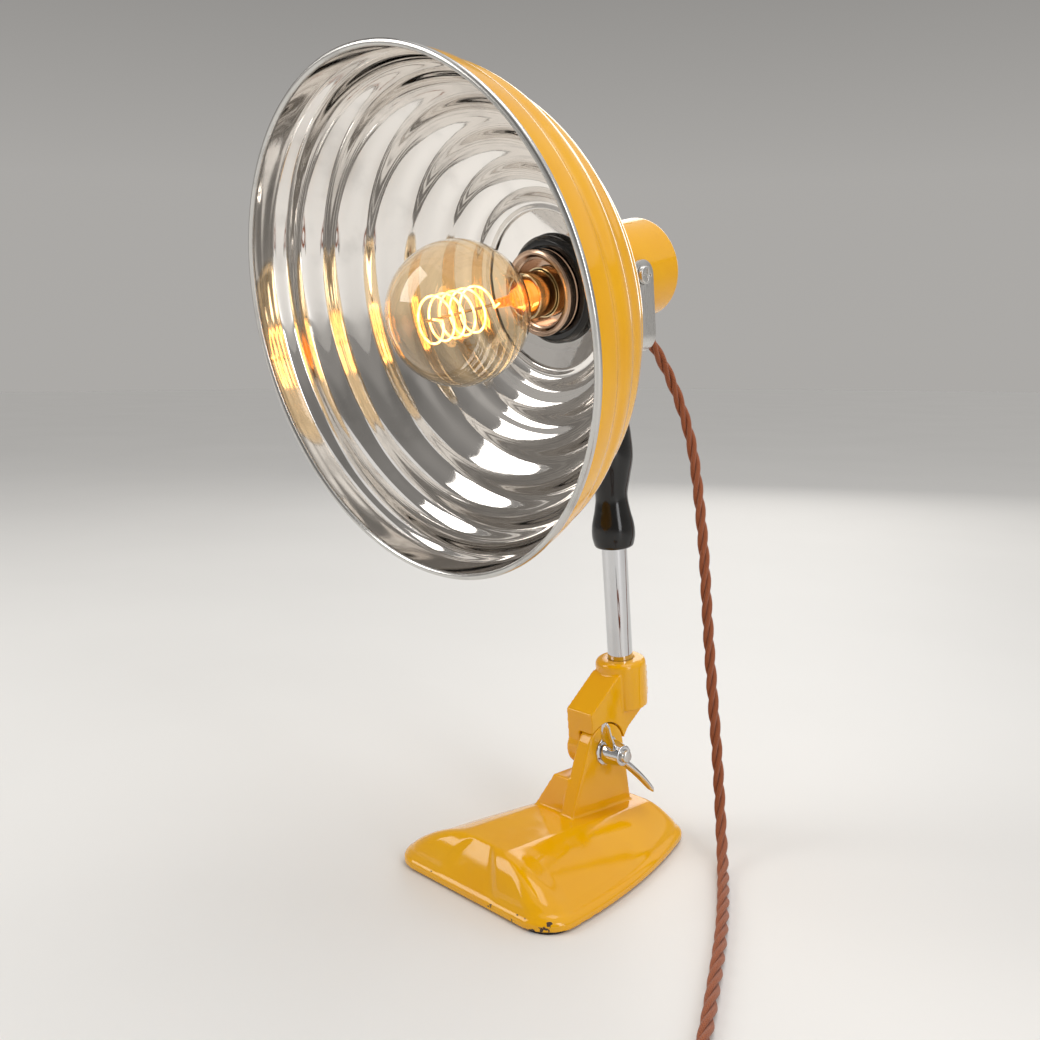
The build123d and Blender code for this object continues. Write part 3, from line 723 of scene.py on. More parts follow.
def clean_copy(node: str, name: str) -> bpy.types.Object:
    """A joined copy of a frame node's mesh, ready for modifiers.

    Args:
        node: the frame's node.
        name: the new piece's name.

    Returns:
        The copy.
    """
    bm = bmesh.new()
    bm.from_mesh(frame["nodes"][node].data)
    bmesh.ops.remove_doubles(bm, verts=bm.verts, dist=WELD)
    bmesh.ops.dissolve_limit(bm, angle_limit=FLAT, verts=bm.verts, edges=bm.edges)
    mesh = bpy.data.meshes.new(name)
    bm.to_mesh(mesh)
    bm.free()
    return new_object(name, mesh)


def evaluated(piece: bpy.types.Object) -> bpy.types.Mesh:
    """Reads a piece as it stands with its modifiers.

    Args:
        piece: the piece.

    Returns:
        A new mesh.
    """
    graph = bpy.context.evaluated_depsgraph_get()
    return bpy.data.meshes.new_from_object(piece.evaluated_get(graph))


def applied(piece: bpy.types.Object) -> bpy.types.Object:
    """Turns a piece's modifiers into its mesh and drops them.

    Args:
        piece: the piece.

    Returns:
        The same piece with its new mesh.
    """
    done = evaluated(piece)
    piece.modifiers.clear()
    piece.data = done
    return piece


def cast(piece: bpy.types.Object, voxel: float, passes: int) -> bpy.types.Object:
    """Gives a solid the soft corners of a thickly painted casting.

    Args:
        piece: a closed mesh, or several that overlap.
        voxel: the size of its new facets in millimetres.
        passes: how often the corners are eased.

    Returns:
        The same piece with its new mesh.
    """
    remesh = piece.modifiers.new("facets", "REMESH")
    remesh.mode = "VOXEL"
    remesh.voxel_size = voxel * MM
    ease = piece.modifiers.new("ease", "SMOOTH")
    ease.factor = 0.5
    ease.iterations = passes
    applied(piece)
    for face in piece.data.polygons:
        face.use_smooth = True
    return piece


def softened(node: str, name: str, width: float) -> bpy.types.Object:
    """A copy of a frame node with its edges broken.

    Args:
        node: the frame's node.
        name: the new piece's name.
        width: the edge's width in millimetres.

    Returns:
        The new piece.
    """
    piece = clean_copy(node, name)
    edge = piece.modifiers.new("edges", "BEVEL")
    edge.width = width * MM
    edge.segments = 2
    edge.limit_method = "ANGLE"
    edge.angle_limit = math.radians(35)
    edge.use_clamp_overlap = True
    applied(piece)
    smooth(piece.data, 32.0)
    return piece


def prism(bm: bmesh.types.BMesh, outline: Profile, low: float, high: float) -> None:
    """Adds a solid with an outline in the side view.

    Args:
        bm: the mesh it is added to.
        outline: (y, z) points in millimetres.
        low: its lowest x.
        high: its highest x.
    """
    near = [bm.verts.new(Vector((low, y, z)) * MM) for y, z in outline]
    far = [bm.verts.new(Vector((high, y, z)) * MM) for y, z in outline]
    bm.faces.new(near)
    bm.faces.new(list(reversed(far)))
    for k in range(len(near)):
        n = (k + 1) % len(near)
        bm.faces.new([near[n], near[k], far[k], far[n]])


class Workshop:
    """Puts pieces on their bodies and gives them their finishes."""

    def __init__(self, finishes: dict[Finish, bpy.types.Material]) -> None:
        """Keeps the finishes.

        Args:
            finishes: one material for each finish.
        """
        self.finishes = finishes

    def fit(self, piece: bpy.types.Object, body: str, finish: Finish, *nodes: str) -> None:
        """Finishes a piece, puts it on its body and lets it stand for frame nodes.

        Args:
            piece: the piece.
            body: the body it moves with.
            finish: its finish.
            nodes: the frame nodes it replaces.
        """
        if not piece.data.materials:
            piece.data.materials.append(self.finishes[finish])
        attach(piece, body)
        if nodes:
            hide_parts(*nodes)
        log.info("made %s on %s in %s", piece.name, body, finish.value)

    def dress(self, finish: Finish, *nodes: str) -> None:
        """Gives kept frame nodes their finish.

        Args:
            finish: the finish.
            nodes: the frame nodes.
        """
        for node in nodes:
            kept = frame["nodes"][node]
            if not kept.material_slots:
                kept.data.materials.append(None)
            for held in kept.material_slots:
                held.material = self.finishes[finish]
            log.info("dressed %s in %s", node, finish.value)


# ---------------------------------------------------------------- foot
@dataclass
class Foot:
    """The cast foot with its ear and stop block, and the tilt joint's hardware."""

    shop: Workshop
    front_y: float = -86.5
    rear_y: float = 80.5
    front_half: float = 71.0
    rear_half: float = 36.0
    bulge: float = 9.3
    corner: float = 17.0
    bottom: float = 1.5
    lip_height: float = 7.0
    lip_chamfer: float = 1.6
    spine_front: Triple = (-70.0, 20.0, 31.0)
    spine_rear: Triple = (60.0, 21.0, 25.5)
    spine_corner: float = 9.0
    ear_radius: float = 17.2
    ear_faces: tuple[float, float] = (0.5, 11.0)
    ear_front: float = 31.5
    ear_rear: float = 28.5
    sunk: float = 12.0
    block_left: float = -12.0
    block_drop: float = 16.0
    block_reach: float = 24.9
    block_rear: float = 14.5
    block_rear_low: float = 25.5
    block_front_draft: float = 0.16
    block_side_draft: float = 0.58
    voxel: float = 0.8
    nut_voxel: float = 0.35
    hub_sides: int = 40
    blade_sides: int = 16
    blade_rows: int = 12
    blade_root: float = 4.6
    side_steps: int = 36
    flank_rows: int = 26
    blade_turn: float = -53.0
    blade_reach: float = 37.0

    def build(self) -> None:
        """Builds and dresses the foot and what stays on it."""
        self.casting()
        shop = self.shop
        washer = rounded([(11.0, 4.1, 0.3), (11.0, 10.0, 0.4), (12.2, 9.9, 0.8), (13.4, 6.5, 2.0),
                          (13.6, 4.1, 0.3)])
        domed = turned("domed_washer", BOLT_AXIS, washer, 64)
        shop.fit(domed, "base", Finish.CHROME, "wing_washer")
        shop.fit(softened("pivot_bolt", "bolt", 0.35), "base", Finish.ZINC, "pivot_bolt")
        shop.dress(Finish.FIBRE, "friction_disc")
        shop.dress(Finish.PAD, "base_pad")
        shop.fit(self.wing_nut(), "wing_nut", Finish.CHROME, "wing_nut")

    def wing_nut(self) -> bpy.types.Object:
        """Forges the wing nut: a tapering hub and two curved blades that lean away from the ear.

        Returns:
            The nut.
        """
        bm = bmesh.new()
        matrix = BOLT_AXIS.matrix
        hub = rounded([(13.9, 4.1), (13.9, 8.4, 0.4), (18.0, 8.0, 0.4), (26.6, 6.6, 0.9), (26.6, 4.1)])
        round_hub = [math.tau * k / self.hub_sides for k in range(self.hub_sides)]
        rings = []
        for position, radius in hub:
            places = [Vector((position, radius * math.cos(t), radius * math.sin(t))) for t in round_hub]
            rings.append([bm.verts.new(matrix @ (place * MM)) for place in places])
        skin(bm, rings + rings[:1], capped=False)
        for side in (1.0, -1.0):
            self.blade(bm, side)
        nut = new_object("forged_wing_nut", mesh_of(bm, "forged_wing_nut"))
        return cast(nut, self.nut_voxel, 3)

    def blade(self, bm: bmesh.types.BMesh, side: float) -> None:
        """Adds one blade of the wing nut.

        Args:
            bm: the nut's mesh.
            side: 1 for one blade and -1 for the other.
        """
        turn = math.radians(self.blade_turn)
        out = Vector((0.0, math.cos(turn), math.sin(turn))) * side
        across = Vector((0.0, -math.sin(turn), math.cos(turn))) * side
        along = Vector((1.0, 0.0, 0.0))
        round_blade = [math.tau * k / self.blade_sides for k in range(self.blade_sides)]
        rings = []
        for row in range(self.blade_rows + 1):
            t = row / self.blade_rows
            reach = self.blade_root + (self.blade_reach - self.blade_root) * t
            end = math.sqrt(max(0.0, 1 - max(0.0, (t - 0.86) / 0.14) ** 2))
            wide = (3.4 + 1.5 * math.sin(math.pi * min(1.0, t * 1.1))) * (0.25 + 0.75 * end)
            thick = (2.7 - 1.2 * t) * (0.35 + 0.65 * end)
            curl = across * 2.4 * math.sin(math.pi * t * 0.8)
            middle = along * (20.0 + 11.5 * t**1.4) + out * reach + curl
            places = [middle + along * wide * math.cos(a) + across * thick * math.sin(a)
                      for a in round_blade]
            rings.append([bm.verts.new(BOLT + place * MM) for place in places])
        skin(bm, rings)

    def outline(self, inset: float, count: int) -> list[Vector]:
        """The footprint with its round corners, evenly stepped.

        Args:
            inset: how far it is drawn in, in millimetres.
            count: points on each of the four sides.

        Returns:
            Points from the front left corner, counter-clockwise.
        """
        front, rear = self.front_y + inset, self.rear_y - inset
        wide, narrow = self.front_half - inset, self.rear_half - inset
        corners = [(-wide, front), (wide, front), (narrow, rear), (-narrow, rear)]
        points = self.stepped(corners, self.corner - inset, count)
        for p in points:
            share = (p.y - self.front_y) / (self.rear_y - self.front_y)
            half = self.front_half + (self.rear_half - self.front_half) * share
            p.x *= 1 + 4 * share * (1 - share) * self.bulge / half
        return points

    def spine(self, count: int) -> list[Vector]:
        """Draws the raised spine's flat top, stepped like the footprint.

        Args:
            count: points on each of the four sides.

        Returns:
            The points, in the footprint's order.
        """
        (front, front_half, _), (rear, rear_half, _) = self.spine_front, self.spine_rear
        corners = [(-front_half, front), (front_half, front), (rear_half, rear), (-rear_half, rear)]
        return self.stepped(corners, self.spine_corner * 0.6, count)

    @staticmethod
    def stepped(corners: Profile, radius: float, count: int) -> list[Vector]:
        """Walks round four corners with the same number of steps on each side and corner.

        Args:
            corners: the four corners.
            radius: the corner radius.
            count: steps on a side.

        Returns:
            The points.
        """
        points = []
        bends = count // 3
        for i, corner in enumerate(corners):
            here = Vector(corner)
            into = (Vector(corners[i - 1]) - here).normalized()
            out = (Vector(corners[(i + 1) % 4]) - here).normalized()
            reach = radius / math.tan(into.angle(out) / 2)
            middle = here + (into + out).normalized() * math.hypot(radius, reach)
            start, end = here + into * reach, here + out * reach
            for k in range(bends):
                t = k / bends
                arc = (start.lerp(end, t) - middle).normalized() * radius
                points.append(middle + arc)
            following = Vector(corners[(i + 1) % 4])
            back = (here - following).normalized()
            beyond = (Vector(corners[(i + 2) % 4]) - following).normalized()
            stop = following + back * radius / math.tan(back.angle(beyond) / 2)
            points.extend(end.lerp(stop, k / count) for k in range(count))
        return points

    def spine_height(self, y: float) -> float:
        """Finds the height of the spine's top.

        Args:
            y: the place along the foot.

        Returns:
            The height in millimetres.
        """
        (front, _, high), (rear, _, low) = self.spine_front, self.spine_rear
        return high + (low - high) * (y - front) / (rear - front)

    def casting(self) -> None:
        """Makes the foot: lip, flanks, steep nose, spine, ear and stop block in one casting."""
        count, rows = self.side_steps, self.flank_rows
        bm = bmesh.new()
        edge, top = self.outline(self.lip_chamfer, count), self.spine(count)
        outer = self.outline(0.0, count)
        levels = ((outer, self.bottom), (outer, self.lip_height - self.lip_chamfer),
                  (edge, self.lip_height))
        rings = [[(p.x, p.y, level) for p in points] for points, level in levels]
        for row in range(1, rows + 1):
            share = row / rows
            ring = []
            for low, high in zip(edge, top):
                p = low.lerp(high, share)
                ring.append((p.x, p.y, self.flank(share, low, self.spine_height(high.y))))
            rings.append(ring)
        verts = [[bm.verts.new(Vector(p) * MM) for p in ring] for ring in rings]
        skin(bm, verts)
        self.ear(bm)
        mesh = bpy.data.meshes.new("foot_casting")
        bm.to_mesh(mesh)
        bm.free()
        piece = cast(new_object("foot_casting", mesh), self.voxel, 7)
        enamel = Enamel("foot_enamel", chipped=True, unevenness=0.0005)
        piece.data.materials.append(enamel.material())
        self.shop.fit(piece, "base", Finish.YELLOW, "base_casting")

    def flank(self, share: float, low: Vector, peak: float) -> float:
        """Height of the foot's flank between its lip and its spine.

        Args:
            share: 0 at the lip and 1 at the spine.
            low: the point of the lip.
            peak: the spine's height there.

        Returns:
            The height in millimetres.
        """
        nose = ramped(-low.y, 78.0, 4.0) * (1.0 - ramped(abs(low.x), 21.0, 7.0))
        lobe = ramped(-low.y, 60.0, 20.0) * (1.0 - nose)
        side = 0.50 * math.sin(math.pi * share / 2) ** 0.95 + 0.50 * share
        full = 0.86 * math.sin(math.pi * share / 2) ** 0.80 + 0.14 * share
        shape = side * (1 - lobe) + full * lobe
        shape = shape * (1 - nose) + (share + 0.05 * math.sin(math.pi * share)) * nose
        groove = 0.9 * math.exp(-(((share - 0.08) / 0.04) ** 2)) * (1 - nose)
        return self.lip_height + (peak - self.lip_height) * shape - groove

    def ear(self, bm: bmesh.types.BMesh) -> None:
        """Adds the ear beside the joint and the block under it.

        Args:
            bm: the foot's mesh.
        """
        y, z = BOLT.y / MM, BOLT.z / MM
        arc = [(y + self.ear_radius * math.cos(a), z + self.ear_radius * math.sin(a))
               for a in (math.radians(8.0 + 158.0 * k / 24) for k in range(25))]
        front, rear = y - self.ear_front, y + self.ear_rear
        side = [(rear, self.sunk), *arc, (front, self.spine_height(front)), (front, self.sunk)]
        prism(bm, side, *self.ear_faces)
        top, right = z - self.block_drop, self.ear_faces[0] + 1.0
        fall = top - self.sunk
        front, left = y - self.block_reach, self.block_left
        low_front, low_left = front - self.block_front_draft * fall, left - self.block_side_draft * fall
        sizes = ((self.sunk, low_left, low_front, y + self.block_rear_low),
                 (top, left, front, y + self.block_rear))
        rings = []
        for level, outer, near, far in sizes:
            corners = ((outer, near), (right, near), (right, far), (outer, far))
            rings.append([bm.verts.new(Vector((*corner, level)) * MM) for corner in corners])
        skin(bm, rings)


# ---------------------------------------------------------------- stem
@dataclass
class Stem:
    """The cranked knuckle, chrome tube, turned handle and yoke."""

    shop: Workshop
    tube_radius: float = 8.25
    tube_wall: float = 1.25
    tube_bottom: float = 24.0
    tube_top: float = 236.0
    handle_bottom: float = 128.0
    handle_length: float = 120.6
    collar_height: float = 4.0
    handle_socket: float = 12.6
    handle_swell: tuple[tuple[float, float], ...] = (
        (0.06, 5.7), (0.12, 5.3), (0.20, 3.2), (0.28, 2.1), (0.37, 4.3),
        (0.48, 6.7), (0.60, 6.2), (0.73, 4.4), (0.88, 3.0),
    )

    def build(self) -> None:
        """Builds and dresses the stem's pieces."""
        shop = self.shop
        knuckle = cast(clean_copy("knuckle", "knuckle_casting"), 0.55, 6)
        shop.fit(knuckle, "stem", Finish.YELLOW, "knuckle")
        shop.fit(self.tube(), "stem", Finish.CHROME, "stem_tube")
        shop.fit(self.handle(), "stem", Finish.BAKELITE, "handle")
        start = self.handle_bottom + self.handle_length
        end = start + self.collar_height
        collar = rounded([(start, 3.1), (start, 11.5, 1.0), (end, 11.5, 1.4), (end, 3.1)])
        shop.fit(turned("collar", STEM, collar, 72), "stem", Finish.CHROME, "handle_collar")
        shop.fit(softened("yoke", "yoke_strip", 0.45), "stem", Finish.ZINC, "yoke")
        shop.fit(softened("yoke_bolt", "yoke_stud", 0.3), "stem", Finish.ZINC, "yoke_bolt")
        shop.dress(Finish.ZINC, "tube_insert", "grub_screw")

    def tube(self) -> bpy.types.Object:
        """Draws the tube with its broken ends.

        Returns:
            The tube.
        """
        low, high = self.tube_bottom, self.tube_top
        outer, inner = self.tube_radius, self.tube_radius - self.tube_wall
        profile = rounded([(low, inner), (low, outer, 0.3), (high, outer, 0.3), (high, inner)], 3)
        return turned("drawn_tube", STEM, profile, 96)

    def handle(self) -> bpy.types.Object:
        """Turns the grip: beaded foot, narrow waist, belly and a slow taper to the collar.

        Returns:
            The grip.
        """
        low, long, tube = self.handle_bottom, self.handle_length, self.tube_radius
        high, step = low + long, low + long - self.handle_socket
        swell = [(low + share * long, tube + grow) for share, grow in self.handle_swell]
        swell = [(low + 1.6, tube + 4.6), *swell, (high - 1.2, tube + 2.4)]
        outside = [(low, tube + 3.2), (low + 0.5, tube + 4.0), *flowing(swell, 8), (high, tube + 1.6)]
        bore = [(high, 3.2), (step, 3.2), (step, tube + 0.05)]
        return turned("turned_grip", STEM, [(low, tube + 0.05), *outside, *bore], 96)


# ---------------------------------------------------------------- head
@dataclass
class Reflector:
    """The spun bowl: ribbed shell, enamel outside, polished inside, and a rolled bare rim."""

    shop: Workshop
    rim: float = 138.5
    depth: float = 118.0
    root_margin: float = 7.5
    power: float = 1.73
    root_power: float = 0.58
    wall: float = 1.2
    ribs: int = 7
    rib_height: float = 1.7
    rib_start: float = 13.0
    back: float = -40.0
    neck_flat: float = 35.5
    neck_hole: float = 27.0
    bead: float = 1.9

    def radius(self, depth: float) -> float:
        """Finds the radius of the outer wall without its ribs.

        Args:
            depth: depth behind the rim.

        Returns:
            The radius in millimetres.
        """
        share = depth / (self.depth + self.root_margin)
        return self.rim * (1 - share**self.power) ** self.root_power

    def point(self, depth: float, inset: float, rib: float) -> tuple[float, float]:
        """A wall point moved along the wall's normal.

        Args:
            depth: depth behind the rim.
            inset: how far inside the outer wall.
            rib: the rib's own offset.

        Returns:
            (position, radius).
        """
        step = 0.05
        low, high = max(depth - step, 0.0), depth + step
        slope = (self.radius(high) - self.radius(low)) / (high - low)
        length = math.hypot(1.0, slope)
        move = (rib - inset) / length
        return self.back - self.depth + depth - move * slope, self.radius(depth) + move

    def wall_line(self, inset: float, per_rib: int = 14) -> Profile:
        """Draws one face of the ribbed wall, from the rim to the neck.

        Args:
            inset: how far inside the outer wall.
            per_rib: points on each rib.

        Returns:
            The side view.
        """
        line = [self.point(self.rib_start * i / 4, inset, 0.0) for i in range(4)]
        steps = self.ribs * per_rib
        ribbed = self.depth - self.rib_start - 4.0
        for i in range(steps + 1):
            share = i / steps
            depth = self.rib_start + ribbed * math.sin(share * math.pi / 2) ** 1.15
            wave = 0.5 - 0.5 * math.cos(math.tau * self.ribs * share)
            line.append(self.point(depth, inset, -self.rib_height * 1.12 * wave**1.35))
        return line

    def build(self) -> None:
        """Builds the shell with its two faces and rolled rim."""
        outside, inside = self.wall_line(0.0), self.wall_line(self.wall)
        front = self.back - self.depth
        bead = [(front + self.bead * math.cos(a), self.rim - 0.4 + self.bead * math.sin(a))
                for a in (math.radians(60.0 + 240.0 * k / 14) for k in range(15))]
        within = self.back - self.wall
        neck = [(self.back, self.neck_flat), (self.back, self.neck_hole),
                (within, self.neck_hole), (within, self.neck_flat - self.wall)]
        profile = outside + neck + list(reversed(inside)) + list(reversed(bead))
        painted = len(outside) + 1
        polished = len(outside) + len(neck) + len(inside) - 1

        def slot_of(index: int) -> int:
            """Chooses paint outside, polish inside and bare metal on the rim.

            Args:
                index: the stretch of the profile.

            Returns:
                The material's index.
            """
            if index < painted:
                return 0
            return 1 if index < polished else 2

        shell = turned("spun_bowl", HEAD, profile, 256, True, slot_of)
        for finish in (
            Enamel("bowl_enamel", unevenness=0.00018),
            Polish("bowl_mirror", (0.90, 0.868, 0.832), 0.055, 1500.0, 0.000012, True, 0.35),
            Polish("bowl_rim", (0.62, 0.61, 0.59), 0.22, 1200.0, 0.00003, True, 0.5),
        ):
            shell.data.materials.append(finish.material())
        self.shop.fit(shell, "head", Finish.SHELL, "reflector")


@dataclass
class Head:
    """The rear cap, lampholder, bulb and yoke hardware."""

    shop: Workshop
    cap_front: float = -40.0
    cap_back: float = 40.0
    cap_radius: float = 31.0
    ring_back: float = -41.2
    holder_front: float = -42.7
    globe_centre: float = -117.0
    globe_radius: float = 40.0
    glass_wall: float = 0.8
    cap_mouth: float = -65.0
    neck_radius: float = 12.6
    coil_turns: int = 5
    coil_radius: float = 12.5
    coil_pitch: float = 7.6
    wire_radius: float = 0.62

    def build(self) -> None:
        """Builds and dresses the head's pieces."""
        Reflector(self.shop).build()
        self.rear_cap()
        self.lampholder()
        self.bulb()
        shop = self.shop
        for node, name, width, finish in (
            ("yoke_washers", "ear_washers", 0.25, Finish.ZINC),
            ("yoke_screws", "ear_screws", 0.3, Finish.ZINC),
            ("nipple_nut", "back_nut", 0.4, Finish.ZINC),
            ("cord_gland", "strain_relief_boot", 0.5, Finish.RUBBER),
        ):
            shop.fit(softened(node, name, width), "head", finish, node)
        shop.dress(Finish.ZINC, "holder_nipple")
        shop.dress(Finish.CERAMIC, "holder_body")
        shop.dress(Finish.BRASS, "thread_shell", "centre_contact", "bulb_cap")
        shop.dress(Finish.WIRE, "filament_supports")
        shop.dress(Finish.BRAID, "inner_lead")

    def rear_cap(self) -> None:
        """Makes the spun can behind the bowl, with a rolled back edge and a shallow seam."""
        r, front, back = self.cap_radius, self.cap_front, self.cap_back
        wall = 2.0
        profile = rounded([(back - wall, 0.0), (back - wall, r - wall, 1.5), (front, r - wall, 0.0),
                           (front, r - 0.5, 0.3), (front + 1.0, r, 0.4), (back, r, 3.2), (back, 0.0)],
                          8, False)
        can = turned("rear_can", HEAD, profile, 128, False)
        self.shop.fit(can, "head", Finish.YELLOW, "rear_cap")

    def lampholder(self) -> None:
        """Makes the bakelite shade ring and the stepped, ribbed skirt of the holder."""
        back, front = self.ring_back, self.holder_front
        lip = front - 13.0
        ring = [(back, 24.1), (back, 31.0, 0.6), (back - 2.4, 32.0, 1.2), (back - 5.5, 29.5, 1.6),
                (back - 5.5, 25.8, 0.5), (back - 1.4, 25.8), (back - 1.4, 24.1)]
        skirt = [(front, 15.1), (front, 24.6, 0.3), (front - 4.0, 24.6, 0.3), (front - 4.6, 24.0, 0.2),
                 (front - 5.2, 24.6, 0.2), (front - 9.6, 24.6, 0.5), (front - 10.4, 25.2, 0.5),
                 (lip + 0.6, 25.2, 0.6), (lip, 23.6, 0.7), (lip + 0.3, 22.4, 0.4),
                 (lip + 2.4, 20.8, 0.6), (lip + 3.0, 19.6, 0.4), (front - 2.0, 19.6),
                 (front - 2.0, 15.1)]
        for name, corners, finish, node in (
            ("bakelite_ring", ring, Finish.BAKELITE, "shade_ring"),
            ("holder_rim", skirt, Finish.COPPER, "holder_skirt"),
        ):
            self.shop.fit(turned(name, HEAD, rounded(corners), 128), "head", finish, node)

    def glass_line(self, wall: float) -> Profile:
        """Draws one face of the globe and its neck, from the front pole to the cap's mouth.

        Args:
            wall: how far inside the outer face.

        Returns:
            The side view.
        """
        globe = self.globe_radius - wall
        blend = math.asin((self.neck_radius + 6.0) / self.globe_radius)
        arc = [(self.globe_centre - globe * math.cos(a), globe * math.sin(a))
               for a in ((math.pi - blend) * k / 40 for k in range(41))]
        leaving, heading = Vector(arc[-1]), Vector((math.sin(blend), -math.cos(blend)))
        end, level = Vector((self.cap_mouth, self.neck_radius - wall)), Vector((1.0, 0.0))
        reach = (end - leaving).length
        line = [*arc]
        for k in range(1, 13):
            t = k / 12
            place = (leaving * (2 * t**3 - 3 * t**2 + 1) + heading * reach * (t**3 - 2 * t**2 + t)
                     + end * (3 * t**2 - 2 * t**3) + level * reach * (t**3 - t**2))
            line.append(tuple(place))
        return line

    def bulb(self) -> None:
        """The globe, its inner stem and the glowing spiral with its two leads."""
        outer, inner = self.glass_line(0.0), self.glass_line(self.glass_wall)
        globe = turned("blown_globe", HEAD, outer + list(reversed(inner)), 160, False)
        self.shop.fit(globe, "head", Finish.GLASS, "bulb_glass")
        tip = self.globe_centre + 29.0
        mouth = self.cap_mouth
        flare = flowing([(tip + 4.0, 2.7), (tip + 12.0, 3.4), (mouth - 8.0, 5.2), (mouth - 3.0, 7.0),
                         (mouth + 2.0, 9.0)], 5)
        stem = [(tip, 0.0), (tip + 0.3, 1.8), (tip + 1.2, 2.6), *flare, (mouth + 2.0, 0.0)]
        glass = turned("glass_stem", HEAD, stem, 64, False)
        # the stem's orange emission is a painted glow of the filament's light; the stem itself is no
        # lamp
        glass.data.materials.append(ClearGlass("stem_painted_glow_glass", (1.0, 0.55, 0.22), 0.35).material())
        self.shop.fit(glass, "head", Finish.GLASS, "bulb_stem")
        self.spiral(tip)

    def spiral(self, tip: float) -> None:
        """The filament's open spiral along the axis.

        Args:
            tip: where the glass stem ends, along the axis.
        """
        matrix = HEAD.matrix
        start = self.globe_centre - self.coil_pitch * self.coil_turns / 2 - 3.0
        per_turn = 28
        points = []
        for k in range(self.coil_turns * per_turn + 1):
            angle = math.tau * k / per_turn
            place = (start + self.coil_pitch * k / per_turn, self.coil_radius * math.cos(angle),
                     self.coil_radius * math.sin(angle))
            points.append(matrix @ (Vector(place) * MM))
        ends = [(start - 0.5, self.coil_radius * 0.45, -1.0), (tip + 1.0, 1.4, 0.0)]
        first, last = (matrix @ (Vector(p) * MM) for p in ends)
        wire = tube("hot_spiral", [first, *points, last], self.wire_radius * MM, 10)
        self.shop.fit(wire, "head", Finish.HOT_WIRE, "filament")


def frames_along(line: list[Vector], first: Vector | None = None) -> list[tuple[Vector, Vector]]:
    """Two steady sideways directions at each point of a line.

    Args:
        line: the points.
        first: the sideways direction to start from, or None for any.

    Returns:
        A pair of directions for each point, carried along without twist.
    """
    padded = [line[0], *line, line[-1]]
    tangents = [(after - before).normalized() for before, after in zip(padded, padded[2:])]
    normal = first or tangents[0].orthogonal().normalized()
    pairs = []
    for tangent in tangents:
        normal = (normal - tangent * normal.dot(tangent)).normalized()
        pairs.append((normal.copy(), tangent.cross(normal)))
    return pairs


def tube(name: str, line: list[Vector], radius: float, sides: int) -> bpy.types.Object:
    """A round tube along a line.

    Args:
        name: the piece's name.
        line: its centre points in metres.
        radius: its radius in metres.
        sides: facets round.

    Returns:
        The object.
    """
    bm = bmesh.new()
    rings = []
    for point, (side, up) in zip(line, frames_along(line)):
        rings.append([bm.verts.new(point + (side * math.cos(a) + up * math.sin(a)) * radius)
                      for a in (math.tau * k / sides for k in range(sides))])
    skin(bm, rings)
    mesh = mesh_of(bm, name)
    smooth(mesh, 60.0)
    return new_object(name, mesh)


